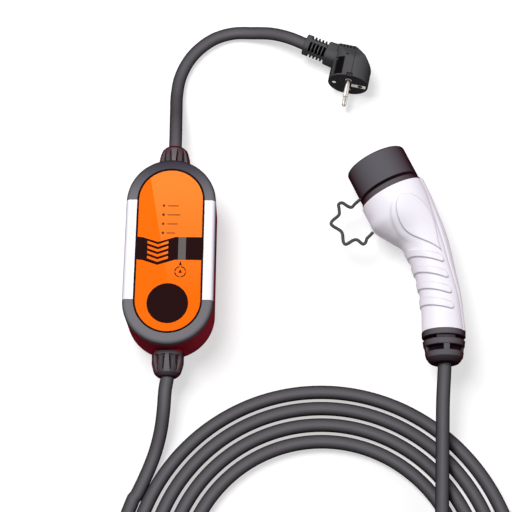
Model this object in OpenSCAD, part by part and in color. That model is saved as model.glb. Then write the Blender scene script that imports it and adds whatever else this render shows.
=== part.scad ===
// Portable EV charger: a mains plug on a short cord, a control box with an orange panel,
// a coiled charging cable and a vehicle connector with a tethered dust cap.
// Origin: middle of the control box's back, which lies on the floor. +Y points to the mains end.

/* [Control box] */
// Length of the straight sides between the round ends
box_straight = 96; // [90:1:102]
// Half width at the joint between the two shells
box_half_w = 41.3; // [40.8:0.1:42]
// Half width at the back
back_half_w = 41.1; // [40.4:0.1:41.3]
// Radius of the rounded back edge
back_edge_r = 3.5; // [3:0.5:6]
// Height of the joint between the two shells
split_h = 52; // [51:0.25:52.5]
// Height of the box at the bezel
box_h = 57; // [56:0.5:60]
// How far the front shell's sides lean in
front_lean = 0.3; // [0.2:0.1:0.6]
// Radius of the rounded bezel edge
bezel_edge_r = 4; // [3:0.5:5]
// Wall of both shells
shell_wall = 2.6; // [2:0.1:3]
// Thickness of the white side grips
grip_t = 2.2; // [1.6:0.1:2.6]
// Height of the grips' lower edge above the shell joint
grip_gap = 1; // [0.5:0.25:1.5]

/* [Front panel] */
// Half width of the orange panel
panel_half_w = 29.4; // [28.5:0.1:30]
// Thickness of the panel
panel_t = 2; // [1.6:0.1:2.4]
// Depth of the panel below the bezel
panel_drop = 0.4; // [0.2:0.1:0.8]
// Width of the black seal round the panel
panel_seal_w = 1.7; // [1:0.1:2]
// Width of the ledge under the panel's edge
ledge_w = 3; // [2:0.5:4]
// Thickness of that ledge
ledge_t = 4; // [3:0.5:5]
// Depth of the print inlays
print_t = 0.4; // [0.2:0.1:0.6]
// Height of the black band across the panel
band_h = 22; // [18:1:26]
// Depth of the dip in the band's edges
band_dip = 5; // [3:0.5:7]
// Number of arrow stripes in the band
stripe_count = 4; // [3:1:5]
// Half width of the arrow stripes
stripe_half_w = 9.5; // [8:0.5:11]
// Radius of the bare round badge
badge_r = 18.7; // [15:0.1:21]
// Width of the display strip
display_w = 7; // [5:0.5:9]
// Radius of a status light
light_r = 1.2; // [0.8:0.1:1.6]
// Spacing of the status lights
light_pitch = 8.9; // [7:0.1:10]

/* [Inside the box] */
// Height of the posts under the circuit board
post_h = 10; // [8:0.5:12]
// Thickness of the circuit boards
board_t = 1.6; // [1.2:0.2:2]
// Length of the main circuit board
board_l = 116; // [100:1:122]
// Width of the main circuit board
board_w = 52; // [46:1:54]
// Radius of the screws' shanks
screw_r = 1.5; // [1.2:0.1:1.8]
// Radius of the screws' heads
screw_head_r = 2.8; // [2.4:0.1:3]

/* [Glands and cables] */
// Diameter of both cables
cable_d = 12; // [11:0.5:12]
// Height of the gland's axis above the floor
gland_h = 26; // [24:0.5:28]
// Outer radius of a gland's threaded body
gland_r = 9; // [8.5:0.25:9.5]
// Radius of a gland nut at its widest
nut_r = 14.9; // [14:0.1:15.5]
// Length of a gland nut
nut_l = 22.5; // [20:0.5:26]

/* [Mains plug] */
// Radius of the round plug face
plug_r = 20; // [19:0.5:20.5]
// Depth of the plug's head
plug_depth = 38; // [36:1:40]
// Backward lean of the cable outlet, in degrees
plug_lean = 12; // [8:1:16]
// Radius of a mains pin
pin_r = 2.4; // [2:0.1:2.5]
// Length of a mains pin
pin_l = 19.5; // [18:0.5:20]
// Spacing of the mains pins
pin_pitch = 19; // [18:0.5:20]

/* [Vehicle connector] */
// Length of the dust cap
cap_l = 31; // [30:0.5:34]
// Wall of the dust cap
cap_wall = 2; // [1.6:0.1:2.4]
// Radius of the contact nose
nose_r = 27.2; // [26.5:0.1:28]
// Length of the contact nose
nose_l = 22; // [20:0.5:23]
// Length of the black collar between cap and housing
collar_l = 7; // [5:0.5:9]
// Wall of the handle shells
handle_wall = 3; // [2.4:0.2:3.4]
// Height of the grip ribs
rib_h = 1.3; // [0.6:0.1:1.8]
// Width of a grip rib
rib_w = 7.2; // [5:0.2:9]
// Spacing of the grip ribs
rib_pitch = 14.9; // [12:0.1:15.5]
// Height of the raised teardrop field
tear_h = 1; // [0.5:0.1:1.5]
// Length of the cable boot
boot_l = 33; // [30:1:36]
// Diameter of the cap's tether
tether_d = 3; // [2.5:0.1:3.5]

/* [Hidden] */

// Clearance between pieces that fit into each other
fit = 0.1;
// Clearance round pieces that pull off
slide_fit = 0.3;
// Overshoot of a cut past the face it opens
over = 1;
$fn = 64;

// Panel and bezel levels
half_straight = box_straight / 2;
face_half_w = box_half_w - front_lean;
panel_top = box_h - panel_drop;
panel_bottom = panel_top - panel_t;
pocket_half_w = panel_half_w + panel_seal_w + fit;
ledge_bottom = panel_bottom - ledge_t;
cavity_half_w = box_half_w - shell_wall;
lip_half_w = cavity_half_w - fit;
grip_low = split_h + grip_gap;
board_z = shell_wall + post_h;
board_top = board_z + board_t;

// Parts on the board, set in a row along it with equal gaps
block_size = [30, 10, 12];
block_inset = 1;
block_floor = 4;
wire_pitch = 9;
wire_hole_r = 2.5;
sensor_r = 15;
sensor_hole_r = 9;
sensor_h = 10;
relay_size = [18, 28, 18];
relay_pitch = 22;
transformer_size = [28, 18, 17];
block_y = board_l / 2 - block_inset - block_size[1] / 2;
row_l = board_l - 2 * (block_inset + block_size[1]);
part_gap = (row_l - 2 * sensor_r - relay_size[1] - transformer_size[1]) / 4;
sensor_y = -row_l / 2 + part_gap + sensor_r;
relay_y = sensor_y + sensor_r + part_gap;
transformer_y = relay_y + relay_size[1] + part_gap;

// Places of the housing screws, under the ledge beside the panel
screw_boss_r = 4;
screw_x = cavity_half_w - screw_boss_r - 2.8;
screw_y = half_straight - 4;
screw_head_h = 2.4;
screw_sink = 4;
screw_grip = 3.2;

// Panel graphics, measured from the panel's middle
dip_x = -10.5;
dip_half_w = 16;
band_top = 11.8;
stripe_t = 2.5;
stripe_gap = 2.3;
badge_y = -half_straight - 3.3;
display_x = 8.1;
light_x = -6.4;
light_first_y = 42.4;
light_count = 4;

// Gland levels: the shell has a flat boss round each gland
gland_stand = 0.6;
gland_face = half_straight + box_half_w + gland_stand;
gland_boss_r = gland_r + 3.5;
gland_flange_t = 4;
gland_inner_face = half_straight + back_half_w - shell_wall - 4;
cable_r = cable_d / 2;
gland_bore_r = cable_r + 0.3;
seal_l = 4;
nut_end = gland_face + nut_l;
nut_lip = 4;
cord_start = nut_end - 10;

// Plug: face centre and heading in plan, with the pins one above the other
plug_at = [167.2, 186.4];
plug_turn = -11.5;
plug_outlet = [-6, 0, -25.5];
plug_neck_l = 22;
plug_slots = 5;
plug_slot_pitch = 3.6;
plug_neck_r = plug_depth + plug_outlet[2];
plug_tail_l = 45;
plug_tail_r = 10;
pin_root = 8;
pin_base_r = pin_r + 0.6;

// Connector: the lower end of the handle
gun_at = [250.4, -66.6];
// Rows of the handle: run up the handle, sideways place, slant of the section, half width, half height
handle_rows = [
    [0, 0, 0, 19.6, 19.6], [16, -0.5, -12, 19.4, 18.9], [34, -2.2, -15, 20.1, 18.7],
    [50, -5.3, -16, 21, 19.3], [66, -9.9, -14, 22.4, 20.5], [78, -14, -5, 23.2, 21.5],
    [92, -22, 12, 26.4, 23.5], [106, -32, 20, 30.8, 28.5],
    [118, -37, 25, 31.4, 31], [131, -43, 25, 31.6, 31.6]];
handle_end = handle_rows[0];
handle_rim = handle_rows[len(handle_rows) - 1];
head_turn = handle_rim[2];
// Gap round the spigots inside the handle's lofted wall
spigot_gap = 0.9;
spigot_l = 8;
rib_count = 4;
rib_first = 20;
rib_slope = 1.4;
rib_from = 52;
rib_fade = 12;
ring_steps = 18;
head_ring_pitch = 4;

// Strip along the back of the handle, up to a turn and a run
spine_h = 0.5;
spine_turn = 44;
spine_fade = 8;
spine_end = 112;

// Teardrop field in plan: its top, its tip and its fullest place
tear_top = [212.5, 55.5];
tear_tip = [250, 4];
tear_half_w = 15;
tear_full = 22;
tear_edge = 1.6;

// Runs at which the handle has a ring of points: two at each edge of a rib, then evenly up the head
handle_runs = concat([0, rib_first / 2],
    [for (k = [0 : rib_count - 1], e = [-1, 1], f = [-1, 1])
        rib_first + k * rib_pitch + e * rib_w / 2 + f * rib_slope / 2],
    [for (v = [rib_first + rib_count * rib_pitch - 7 : head_ring_pitch : handle_rim[0] - 1]) v],
    [handle_rim[0]]);

// Height of the connector's middle plane, with the connector's lowest place on the floor
gun_h = max([for (run = handle_runs, j = [0 : ring_steps]) handle_point(run, 180 * j / ring_steps, 0)[2]]);

// Cap: it clears the nose by a slide fit; its seat and its side in plan, where the tether starts
cap_r = nose_r + slide_fit + cap_wall;
tether_gap = 0.6;
head_dir = [-sin(head_turn), cos(head_turn)];
cap_seat = gun_at + [handle_rim[1], handle_rim[0]] + collar_l * head_dir;
tether_root = cap_seat + 2.5 * head_dir - (cap_r + tether_gap) * [cos(head_turn), sin(head_turn)];

// Contact places on the nose: sideways and up
power_places = [[0, 0], [-16.3, 0], [16.3, 0]];
blank_places = [[-8.2, -14.1], [8.2, -14.1]];
signal_places = [[-7.6, 11], [7.6, 11]];
power_hole_r = 4.2;
signal_hole_r = 2.6;
contact_wall = 0.8;
contact_l = 16;
contact_sink = 3;
nose_flat = 19;

// Routes of the cords, from the object outwards
mains_route = [[0, cord_start, gland_h], [0, 124, 25.5], [-1, 142, 21.5], [-2, 160, 14.5], [-2.5, 178, 8.5],
    [0, 198, 6], [7, 216, 6], [18, 231, 6], [34, 243.5, 6], [53, 250, 6], [72, 250, 8], [91.5, 246.5, 13],
    [109, 238.6, 18], [125.8, 230.2, plug_r], [132.3, 227.4, plug_r]];
ev_box_route = [[0, -cord_start, gland_h], [0, -124, 25.5], [-3, -142, 21.5], [-8, -160, 14.5],
    [-14.5, -178, 8.5], [-21.5, -198, 6], [-28, -216, 6]];
ev_gun_route = [[250.4, -88, gun_h], [250.4, -112, gun_h], [249.2, -130, 30], [247.9, -150, 27],
    [247.1, -172, 23], [246.5, -196, 19.6], [246, -224, 18.4]];
coil_at = [142, -288];
coil_inner_r = 101.3;
coil_outer_r = 190;
cord_sides = 10;

// The cap's tether: a moulded zigzag from the cap's rear rim to the housing
tether_route = [[tether_root[0], tether_root[1], gun_h], [171, 56.8, gun_h], [167.6, 53.6, gun_h],
    [164.4, 54.4, gun_h], [158.6, 58, gun_h], [155.4, 56.6, gun_h], [155.8, 51, gun_h],
    [155.6, 46, gun_h], [149, 39.4, gun_h],
    [148.4, 36, gun_h], [157, 29.8, gun_h], [158.6, 27, gun_h], [159.6, 18.4, gun_h], [161.8, 16.6, gun_h],
    [169.4, 21, gun_h], [172.4, 21, gun_h], [177.6, 17, gun_h], [180, 18.4, gun_h], [181.6, 22.8, gun_h],
    [185, 25.4, gun_h], [188, 27.4, gun_h]];
tether_sides = 8;

// A slab with straight sides and round ends, from a half profile of radius and height
module stadium(length = box_straight) {
    for (side = [-1, 1]) translate([0, side * length / 2, 0]) rotate_extrude() children();
    rotate([90, 0, 0]) linear_extrude(length, center = true) {
        children();
        mirror([1, 0]) children();
    }
}

// A rectangle in the half profile, from one radius and height to another
module band2d(r0, z0, r1, z1) {
    translate([r0, z0]) square([r1 - r0, z1 - z0]);
}

// Half profile of the rear shell, moved in by a wall
module rear_profile(inset = 0, top = split_h) {
    edge_x = back_half_w - back_edge_r;
    polygon([[0, inset], [edge_x, inset], [back_half_w - inset, back_edge_r],
        [box_half_w - inset, top], [0, top]]);
    translate([edge_x, back_edge_r]) circle(r = back_edge_r - inset);
}

// Half profile of the front shell, moved in by a skin
module front_profile(inset = 0) {
    edge_x = face_half_w - bezel_edge_r;
    edge_z = box_h - bezel_edge_r;
    intersection() {
        union() {
            polygon([[0, split_h], [box_half_w - inset, split_h], [face_half_w - inset, edge_z],
                [edge_x, box_h - inset], [0, box_h - inset]]);
            translate([edge_x, edge_z]) circle(r = bezel_edge_r - inset);
        }
        band2d(0, split_h, box_half_w + 2 * over, box_h + 2 * over);
    }
}

// Skin that a side grip fills: thickness, and clearance round it
module grip_skin(skin, outer = 0, gap = 0) {
    intersection() {
        difference() {
            front_profile(-outer);
            front_profile(skin);
        }
        band2d(pocket_half_w - gap, grip_low - gap, box_half_w + 2 * over, box_h + 2 * over);
    }
}

// Copies at the four housing screws
module at_screws() {
    for (x = [-1, 1], y = [-1, 1]) translate([x * screw_x, y * screw_y, 0]) children();
}

// Copies at the four corners of the main circuit board
module at_board_corners() {
    for (x = [-1, 1], y = [-1, 1]) translate([x * (board_w / 2 - 5), y * (board_l / 2 - 5), 0]) children();
}

// A gland's own frame: its axis is Z, pointing out of the box, with 0 at the box's middle
module gland_frame(side) {
    translate([0, 0, gland_h]) rotate([-90 * side, 0, 0]) children();
}

module rear_shell() {
    color("#4a0f18") difference() {
        union() {
            difference() {
                stadium() rear_profile();
                stadium() rear_profile(shell_wall, split_h + over);
            }
            translate([0, 0, shell_wall / 2]) {
                at_screws() cylinder(r = screw_boss_r, h = ledge_bottom - shell_wall / 2);
                at_board_corners() cylinder(r = 3, h = board_z - shell_wall / 2);
            }
            for (side = [-1, 1]) gland_frame(side) translate([0, 0, gland_inner_face])
                cylinder(r = gland_boss_r, h = gland_face - gland_inner_face);
        }
        at_screws() {
            translate([0, 0, -over]) cylinder(r = screw_head_r + 0.3, h = screw_sink + over);
            cylinder(r = screw_r + 0.2, h = split_h + over);
        }
        at_board_corners() translate([0, 0, shell_wall]) cylinder(r = screw_r + fit / 2, h = split_h);
        for (side = [-1, 1]) gland_frame(side) cylinder(r = gland_r + fit, h = gland_face + over);
        stadium() seal_profile(fit / 2);
    }
}

// Profile of the seal in the joint between the shells
module seal_profile(gap = 0) {
    seal_w = 1;
    seal_h = 1.2;
    seal_r = box_half_w - shell_wall / 2 - seal_w / 2 - 0.2;
    band2d(seal_r - gap, split_h - seal_h - gap, seal_r + seal_w + gap, split_h + gap);
}

module housing_seal() {
    color("#202022") difference() {
        stadium() seal_profile();
        stadium() band2d(0, 0, box_half_w - shell_wall / 2 - 0.7, split_h + over);
    }
}

module housing_screws() {
    color("silver") at_screws() {
        translate([0, 0, screw_sink - screw_head_h]) cylinder(r = screw_head_r, h = screw_head_h);
        translate([0, 0, screw_sink - 0.5]) cylinder(r = screw_r, h = ledge_bottom + screw_grip - screw_sink);
    }
}

// Lid with a bezel, a locating lip inside the rear shell and a ledge under the panel
module front_shell() {
    color("#5c5b60") difference() {
        stadium() {
            front_profile();
            band2d(0, ledge_bottom, lip_half_w, split_h + over);
        }
        stadium() {
            band2d(0, ledge_bottom - over, panel_half_w - ledge_w, box_h + over);
            band2d(0, panel_bottom, pocket_half_w, box_h + over);
        }
        at_screws() cylinder(r = screw_r + fit / 2, h = ledge_bottom + screw_grip);
        rotate([90, 0, 0]) linear_extrude(box_straight, center = true) {
            grip_skin(grip_t + fit, over, fit);
            mirror([1, 0]) grip_skin(grip_t + fit, over, fit);
        }
    }
}

module side_grip() {
    color("#f2f0f6") rotate([90, 0, 0])
        linear_extrude(box_straight - 2 * fit, center = true) grip_skin(grip_t);
}

module side_grip_left() mirror([1, 0, 0]) side_grip();

module side_grip_right() side_grip();

module panel_seal() {
    color("#1c1416") difference() {
        stadium() band2d(panel_half_w + fit / 2, panel_bottom, panel_half_w + panel_seal_w, box_h - 0.1);
        stadium() band2d(0, panel_bottom - over, panel_half_w + fit / 2, box_h + over);
    }
}

// Outline of the black band: both edges dip to a point at the arrow stripes
module band_outline(top, bottom, half_w) {
    polygon([[-half_w, top], [dip_x - dip_half_w * 0.85, top - 0.6], [dip_x, top - band_dip],
        [dip_x + dip_half_w, top], [half_w, top],
        [half_w, bottom], [dip_x + dip_half_w, bottom], [dip_x, bottom - band_dip],
        [dip_x - dip_half_w * 0.85, bottom - 0.6], [-half_w, bottom]]);
}

// One arrow stripe, pointing to the charging cable
module stripe() {
    rise = stripe_half_w * 0.36;
    polygon([[-stripe_half_w, rise], [0, 0], [stripe_half_w, rise],
        [stripe_half_w, rise - stripe_t], [0, -stripe_t], [-stripe_half_w, rise - stripe_t]]);
}

module band_print() {
    pitch = stripe_t + stripe_gap;
    difference() {
        intersection() {
            band_outline(band_top, band_top - band_h, panel_half_w);
            square([2 * panel_half_w, box_straight], center = true);
        }
        for (k = [0 : stripe_count - 1])
            translate([dip_x, band_top - band_dip - stripe_gap - k * pitch]) stripe();
        display_cut();
    }
}

module display_cut() {
    translate([display_x, band_top - band_h]) square([display_w, band_h]);
}

module badge_print() {
    translate([0, badge_y]) circle(r = badge_r);
}

// Copies at the status lights
module at_lights() {
    for (k = [0 : light_count - 1]) translate([light_x, light_first_y - k * light_pitch, 0]) children();
}

module front_panel() {
    color("#ff7a10") difference() {
        stadium() band2d(0, panel_bottom, panel_half_w, panel_top);
        translate([0, 0, panel_top - print_t]) linear_extrude(print_t + over) {
            band_print();
            badge_print();
        }
        translate([0, 0, panel_top - panel_t / 2]) linear_extrude(panel_t) display_cut();
        at_lights() cylinder(r = light_r + fit / 2, h = box_h + over);
    }
}

module panel_band() {
    color("#1d1214") translate([0, 0, panel_top - print_t]) linear_extrude(print_t) band_print();
}

module panel_badge() {
    color("#1d1214") translate([0, 0, panel_top - print_t]) linear_extrude(print_t) badge_print();
}

module display_window() {
    color("#6d6a68") translate([0, 0, panel_top - panel_t / 2]) linear_extrude(panel_t / 2) display_cut();
}

module status_lights() {
    color("#5a2a10") at_lights() translate([0, 0, ledge_bottom])
        cylinder(r = light_r, h = panel_top - ledge_bottom);
}

// Small board that hangs under the ledge and carries the lights and the display
module display_board() {
    color("#1f5a36") translate([0, 0, ledge_bottom - board_t / 2])
        cube([2 * panel_half_w + 2, 2 * (screw_y - screw_boss_r - 2), board_t], center = true);
}

module circuit_board() {
    color("#1f5a36") difference() {
        translate([0, 0, board_z + board_t / 2]) cube([board_w, board_l, board_t], center = true);
        at_board_corners() cylinder(r = screw_r + 0.2, h = split_h);
    }
}

module board_screws() {
    color("silver") at_board_corners() {
        translate([0, 0, board_top]) cylinder(r = screw_head_r, h = screw_head_h);
        translate([0, 0, shell_wall + 1]) cylinder(r = screw_r, h = board_top - shell_wall - 0.5);
    }
}

// Two relays that switch the live and neutral lines
module power_relays() {
    color("#20242c") for (x = [-1, 1])
        translate([x * relay_pitch / 2 - relay_size[0] / 2, relay_y, board_top]) cube(relay_size);
}

// Ring core round the lines, which senses leakage current
module leakage_sensor() {
    color("#b08a3c") translate([0, sensor_y, board_top]) difference() {
        cylinder(r = sensor_r, h = sensor_h);
        translate([0, 0, -over]) cylinder(r = sensor_hole_r, h = sensor_h + 2 * over);
    }
}

module supply_transformer() {
    color("#3a3a40") translate([-transformer_size[0] / 2, transformer_y, board_top]) cube(transformer_size);
}

module terminal_blocks() {
    color("#3d7a4a") for (y = [-1, 1]) difference() {
        translate([-block_size[0] / 2, y * block_y - block_size[1] / 2, board_top]) cube(block_size);
        for (k = [-1, 0, 1])
            translate([k * wire_pitch, y * block_y, board_top + block_floor])
                cylinder(r = wire_hole_r, h = block_size[2]);
    }
}

// Threaded sleeve through the shell, with a six-sided flange inside
module gland_body(side) {
    color("#2c2b2f") gland_frame(side) difference() {
        union() {
            translate([0, 0, gland_inner_face - gland_flange_t])
                cylinder(r = gland_r + 3, h = gland_flange_t, $fn = 6);
            translate([0, 0, gland_inner_face - fit])
                cylinder(r = gland_r, h = nut_end - nut_lip - seal_l - gland_inner_face + fit);
        }
        translate([0, 0, gland_inner_face - gland_flange_t - over])
            cylinder(r = gland_bore_r, h = nut_end - gland_inner_face);
    }
}

module mains_gland_body() gland_body(1);

module ev_gland_body() gland_body(-1);

// Domed nut with six wide flats and a raised, tapered rib in the middle of each
module gland_nut(side) {
    flat_r = nut_r * 0.87;
    rib_l = nut_l * 0.86;
    tip_w = nut_r * 0.2;
    base_w = nut_r * 0.11;
    color("#37363b") gland_frame(side) translate([0, 0, gland_face]) difference() {
        union() {
            intersection() {
                nut_dome(nut_r);
                cylinder(r = flat_r / cos(30), h = nut_l, $fn = 6);
            }
            cylinder(r = nut_r * 0.96, h = nut_l * 0.16);
            intersection() {
                nut_dome(nut_r);
                for (turn = [30 : 60 : 330]) rotate([90, 0, turn + 90]) linear_extrude(nut_r)
                    polygon([[-base_w, 0], [base_w, 0], [tip_w, rib_l], [-tip_w, rib_l]]);
            }
        }
        translate([0, 0, -over]) cylinder(r = gland_r + fit, h = nut_l - nut_lip + over);
        cylinder(r = gland_bore_r, h = nut_l + over);
    }
}

// Body of revolution that a gland nut is cut from
module nut_dome(r) {
    shoulder = nut_l * 0.5;
    tip_r = gland_bore_r + 2;
    rotate_extrude() {
        polygon([[0, 0], [r * 0.96, 0], [r, shoulder * 0.7], [r * 0.97, shoulder], [r * 0.86, nut_l * 0.76],
            [tip_r + 1.4, nut_l * 0.95], [tip_r, nut_l], [0, nut_l]]);
    }
}

module mains_gland_nut() gland_nut(1);

module ev_gland_nut() gland_nut(-1);

// Rubber rings that the nuts press onto the cables
module gland_seals() {
    color("#2a2a2a") for (side = [-1, 1]) gland_frame(side) translate([0, 0, nut_end - nut_lip - seal_l])
        difference() {
            cylinder(r = gland_r, h = seal_l);
            translate([0, 0, -over]) cylinder(r = gland_bore_r, h = seal_l + 2 * over);
        }
}

// The plug's own frame: Z out of the face along the pins, X away from the cable, Y up
module plug_frame() {
    translate([plug_at[0], plug_at[1], plug_r]) rotate([90, 0, plug_turn]) children();
}

// The cable outlet's frame: Z along the cable, away from the plug
module plug_tail_frame() {
    translate(plug_outlet) rotate([0, -90 - plug_lean, 0]) children();
}

module plug_body() {
    notch_w = 5.4;
    notch_t = 3.6;
    notch_l = 22;
    rib_step = 3.6;
    rib_top = 1.8;
    color("#333236") plug_frame() difference() {
        union() {
            plug_head();
            plug_tail_frame() plug_tail();
            for (k = [0 : 5]) translate([rib_step * k - 16, -8, -plug_depth - 0.9]) cube([rib_top, 16, 1.6]);
        }
        for (y = [-1, 1]) {
            translate([0, y * pin_pitch / 2, -pin_root]) cylinder(r = pin_base_r + fit, h = pin_root + over);
            translate([-notch_w / 2, y * plug_r - notch_t / 2, -notch_l])
                cube([notch_w, notch_t, notch_l + over]);
        }
        earth_shape(fit);
        translate([12, 0, -14]) cylinder(r = 2.5, h = 14 + over);
        plug_tail_frame() translate([0, 0, plug_tail_l - 8]) cylinder(r = cable_r + 0.3, h = 8 + over);
    }
}

// Round head whose back slopes away on the side without the cable and narrows to the grip
module plug_head() {
    grip_half = 10.5;
    slope_from = 20;
    reach = plug_r + over;
    intersection() {
        translate([0, 0, -plug_depth]) cylinder(r = plug_r, h = plug_depth);
        rotate([90, 0, 0]) linear_extrude(2 * reach, center = true)
            polygon([[-reach, over], [reach, over], [reach, -slope_from], [6, -plug_depth],
                [-reach, -plug_depth]]);
        rotate([90, 0, 90]) linear_extrude(2 * reach, center = true)
            polygon([[-reach, over], [reach, over], [reach, -slope_from], [grip_half, -plug_depth],
                [-grip_half, -plug_depth], [-reach, -slope_from]]);
    }
}

// Neck and ribbed strain relief along the cable
module plug_tail() {
    slot_w = plug_slot_pitch * 0.55;
    core_w = 2 * cable_r + 1.8;
    neck_half = 10.5;
    intersection() {
        cylinder(r1 = plug_neck_r, r2 = neck_half, h = plug_neck_l);
        translate([-plug_r, -neck_half, 0]) cube([2 * plug_r, 2 * neck_half, plug_neck_l]);
    }
    difference() {
        translate([0, 0, plug_neck_l - 1]) cylinder(r = plug_tail_r, h = plug_tail_l - plug_neck_l + 1);
        for (k = [0 : plug_slots - 1], turn = [0 : 90 : 270]) rotate(turn)
            translate([core_w / 2, -6.5, plug_neck_l + 0.6 + k * plug_slot_pitch]) cube([5, 13, slot_w]);
    }
}

// Pins with a bevelled tip, set into the plug
module plug_pins() {
    bevel = 1.2;
    color("#c9c5bd") plug_frame() for (y = [-1, 1]) translate([0, y * pin_pitch / 2, -pin_root]) {
        cylinder(r = pin_base_r, h = pin_root);
        translate([0, 0, pin_root - fit]) cylinder(r = pin_r, h = pin_l - bevel + fit);
        translate([0, 0, pin_root + pin_l - bevel]) cylinder(r1 = pin_r, r2 = pin_r - bevel, h = bevel);
    }
}

// Earth strips on both sides of the head, the plate round the earth socket and a rivet
module earth_shape(gap = 0) {
    strip_t = 0.8;
    sink = 0.4;
    open = gap > 0 ? sink + over : 0;
    for (turn = [0, 180]) rotate(turn) translate([plug_r - sink - strip_t - gap, -3 - gap, -13 - gap])
        cube([strip_t + gap + open, 6 + 2 * gap, 12 + 2 * gap]);
    translate([3.5 - gap, -2.8 - gap, -strip_t - gap])
        cube([14 + 2 * gap, 5.6 + 2 * gap, strip_t + gap + over]);
    translate([-14, 0, -strip_t - gap]) cylinder(r = 1.9 + gap, h = strip_t + gap + over);
}

module earth_contacts() {
    color("#b9b6a6") plug_frame() difference() {
        earth_shape();
        translate([-plug_r, -plug_r, 0]) cube([2 * plug_r, 2 * plug_r, 2 * over]);
        translate([12, 0, -over]) cylinder(r = 2.5, h = 2 * over);
    }
}

// Steepness of a smooth curve at one of its rows
function slope_at(rows, i) =
    let (a = max(i - 1, 0), b = min(i + 1, len(rows) - 1))
    (rows[b] - rows[a]) / (rows[b][0] - rows[a][0]);

// Row below a place along the curve
function row_below(rows, v, i = 0) =
    i >= len(rows) - 2 || v <= rows[i + 1][0] ? i : row_below(rows, v, i + 1);

// Smooth curve through rows whose first value is the place along it
function along(rows, v) =
    let (i = row_below(rows, v), a = rows[i], b = rows[i + 1], d = b[0] - a[0], t = (v - a[0]) / d)
    a * (2 * t ^ 3 - 3 * t ^ 2 + 1) + b * (3 * t ^ 2 - 2 * t ^ 3)
    + slope_at(rows, i) * (d * (t ^ 3 - 2 * t ^ 2 + t)) + slope_at(rows, i + 1) * (d * (t ^ 3 - t ^ 2));

// Soft step from 0 to 1
function ease(v) = let (t = min(1, max(0, v))) t * t * (3 - 2 * t);

// Raised grip ribs: full on the finger side, fading out before the back of the handle
function rib_relief(run, turn) =
    let (off = min([for (k = [0 : rib_count - 1]) abs(run - rib_first - k * rib_pitch)]))
    rib_h * ease((rib_w / 2 + rib_slope / 2 - off) / rib_slope) * ease((turn - rib_from) / rib_fade);

// Raised teardrop field, in plan
function tear_relief(p) =
    let (axis = tear_tip - tear_top, length = norm(axis), dir = axis / length, q = p - tear_top,
        s = q * dir, n = q * [-dir[1], dir[0]],
        half_w = s < tear_full ? tear_half_w * sqrt(max(0, 1 - ((tear_full - s) / (tear_full + 2)) ^ 2))
            : tear_half_w * cos(90 * min(1, (s - tear_full) / (length - tear_full))) ^ 2)
    tear_h * ease((half_w - abs(n)) / tear_edge);

// Raised strip along the back of the handle
function spine_relief(run, turn) =
    spine_h * ease((spine_turn - turn) / spine_fade) * ease((spine_end - run) / rib_fade);

// One point of the handle, at a run up the handle and a turn from its back over the top
function handle_point(run, turn, inset) =
    let (row = along(handle_rows, run), side = [cos(row[2]), sin(row[2])],
        mid = gun_at + [row[1], run], flat = mid + side * (row[3] * cos(turn)),
        relief = inset > 0 ? -inset : rib_relief(run, turn) + spine_relief(run, turn)
            + tear_relief(flat) * ease((sin(turn) - 0.3) / 0.3))
    [for (v = mid + side * ((row[3] + relief) * cos(turn))) v, (row[4] + relief) * sin(turn)];

function quad(a, b, c, d) = [[a, b, c], [a, c, d]];

// Half of the handle: a lofted wall over the middle plane
module handle_half() {
    n = len(handle_runs);
    m = ring_steps + 1;
    points = [for (inset = [0, handle_wall], run = handle_runs, j = [0 : ring_steps])
        handle_point(run, 180 * j / ring_steps, inset)];
    skins = [for (i = [0 : n - 2], j = [0 : m - 2], w = [0, 1])
        let (a = w * n * m + i * m + j)
        each w == 0 ? quad(a, a + 1, a + m + 1, a + m) : quad(a, a + m, a + m + 1, a + 1)];
    edges = [for (i = [0 : n - 2], j = [0, m - 1])
        let (o = i * m + j, in = n * m + o)
        each j == 0 ? quad(o, o + m, in + m, in) : quad(in, in + m, o + m, o)];
    ends = [for (i = [0, n - 1], j = [0 : m - 2])
        let (o = i * m + j, in = n * m + o)
        each i == 0 ? quad(o + 1, o, in, in + 1) : quad(o, o + 1, in + 1, in)];
    polyhedron(points, concat(skins, edges, ends), convexity = 6);
}

module handle_shell_upper() {
    color("#f4f1f7") translate([0, 0, gun_h]) handle_half();
}

module handle_shell_lower() {
    color("#f4f1f7") translate([0, 0, gun_h]) mirror([0, 0, 1]) handle_half();
}

// The connector head's frame: Z out along the nose from the cap's seat, X to the top of the connector
module head_frame() {
    translate([gun_at[0] + handle_rim[1], gun_at[1] + handle_rim[0], gun_h])
        rotate([0, 0, head_turn]) rotate([-90, 0, 0]) translate([0, 0, collar_l]) children();
}

// Copies at contact places on the nose
module at_places(places) {
    for (p = places) translate([p[1], p[0], 0]) children();
}

module nose_housing() {
    rim_r = handle_rim[3];
    spigot_r = rim_r - handle_wall - spigot_gap;
    color("#37363b") head_frame() difference() {
        union() {
            rotate_extrude() polygon([[0, -collar_l - spigot_l], [spigot_r - 1, -collar_l - spigot_l],
                [spigot_r, -collar_l - spigot_l + 1], [spigot_r, -collar_l], [rim_r - 0.3, -collar_l],
                [cap_r - 1, 0], [0, 0]]);
            difference() {
                rotate_extrude() polygon([[0, -over], [nose_r, -over], [nose_r, nose_l - 1.5],
                    [nose_r - 1.5, nose_l], [0, nose_l]]);
                translate([nose_flat, -cap_r, 0]) cube([cap_r, 2 * cap_r, nose_l + over]);
            }
        }
        at_places(concat(power_places, blank_places)) translate([0, 0, nose_l - contact_sink - contact_l])
            cylinder(r = power_hole_r, h = contact_l + contact_sink + over);
        at_places(signal_places) translate([0, 0, nose_l - contact_sink - contact_l])
            cylinder(r = signal_hole_r, h = contact_l + contact_sink + over);
    }
}

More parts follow.
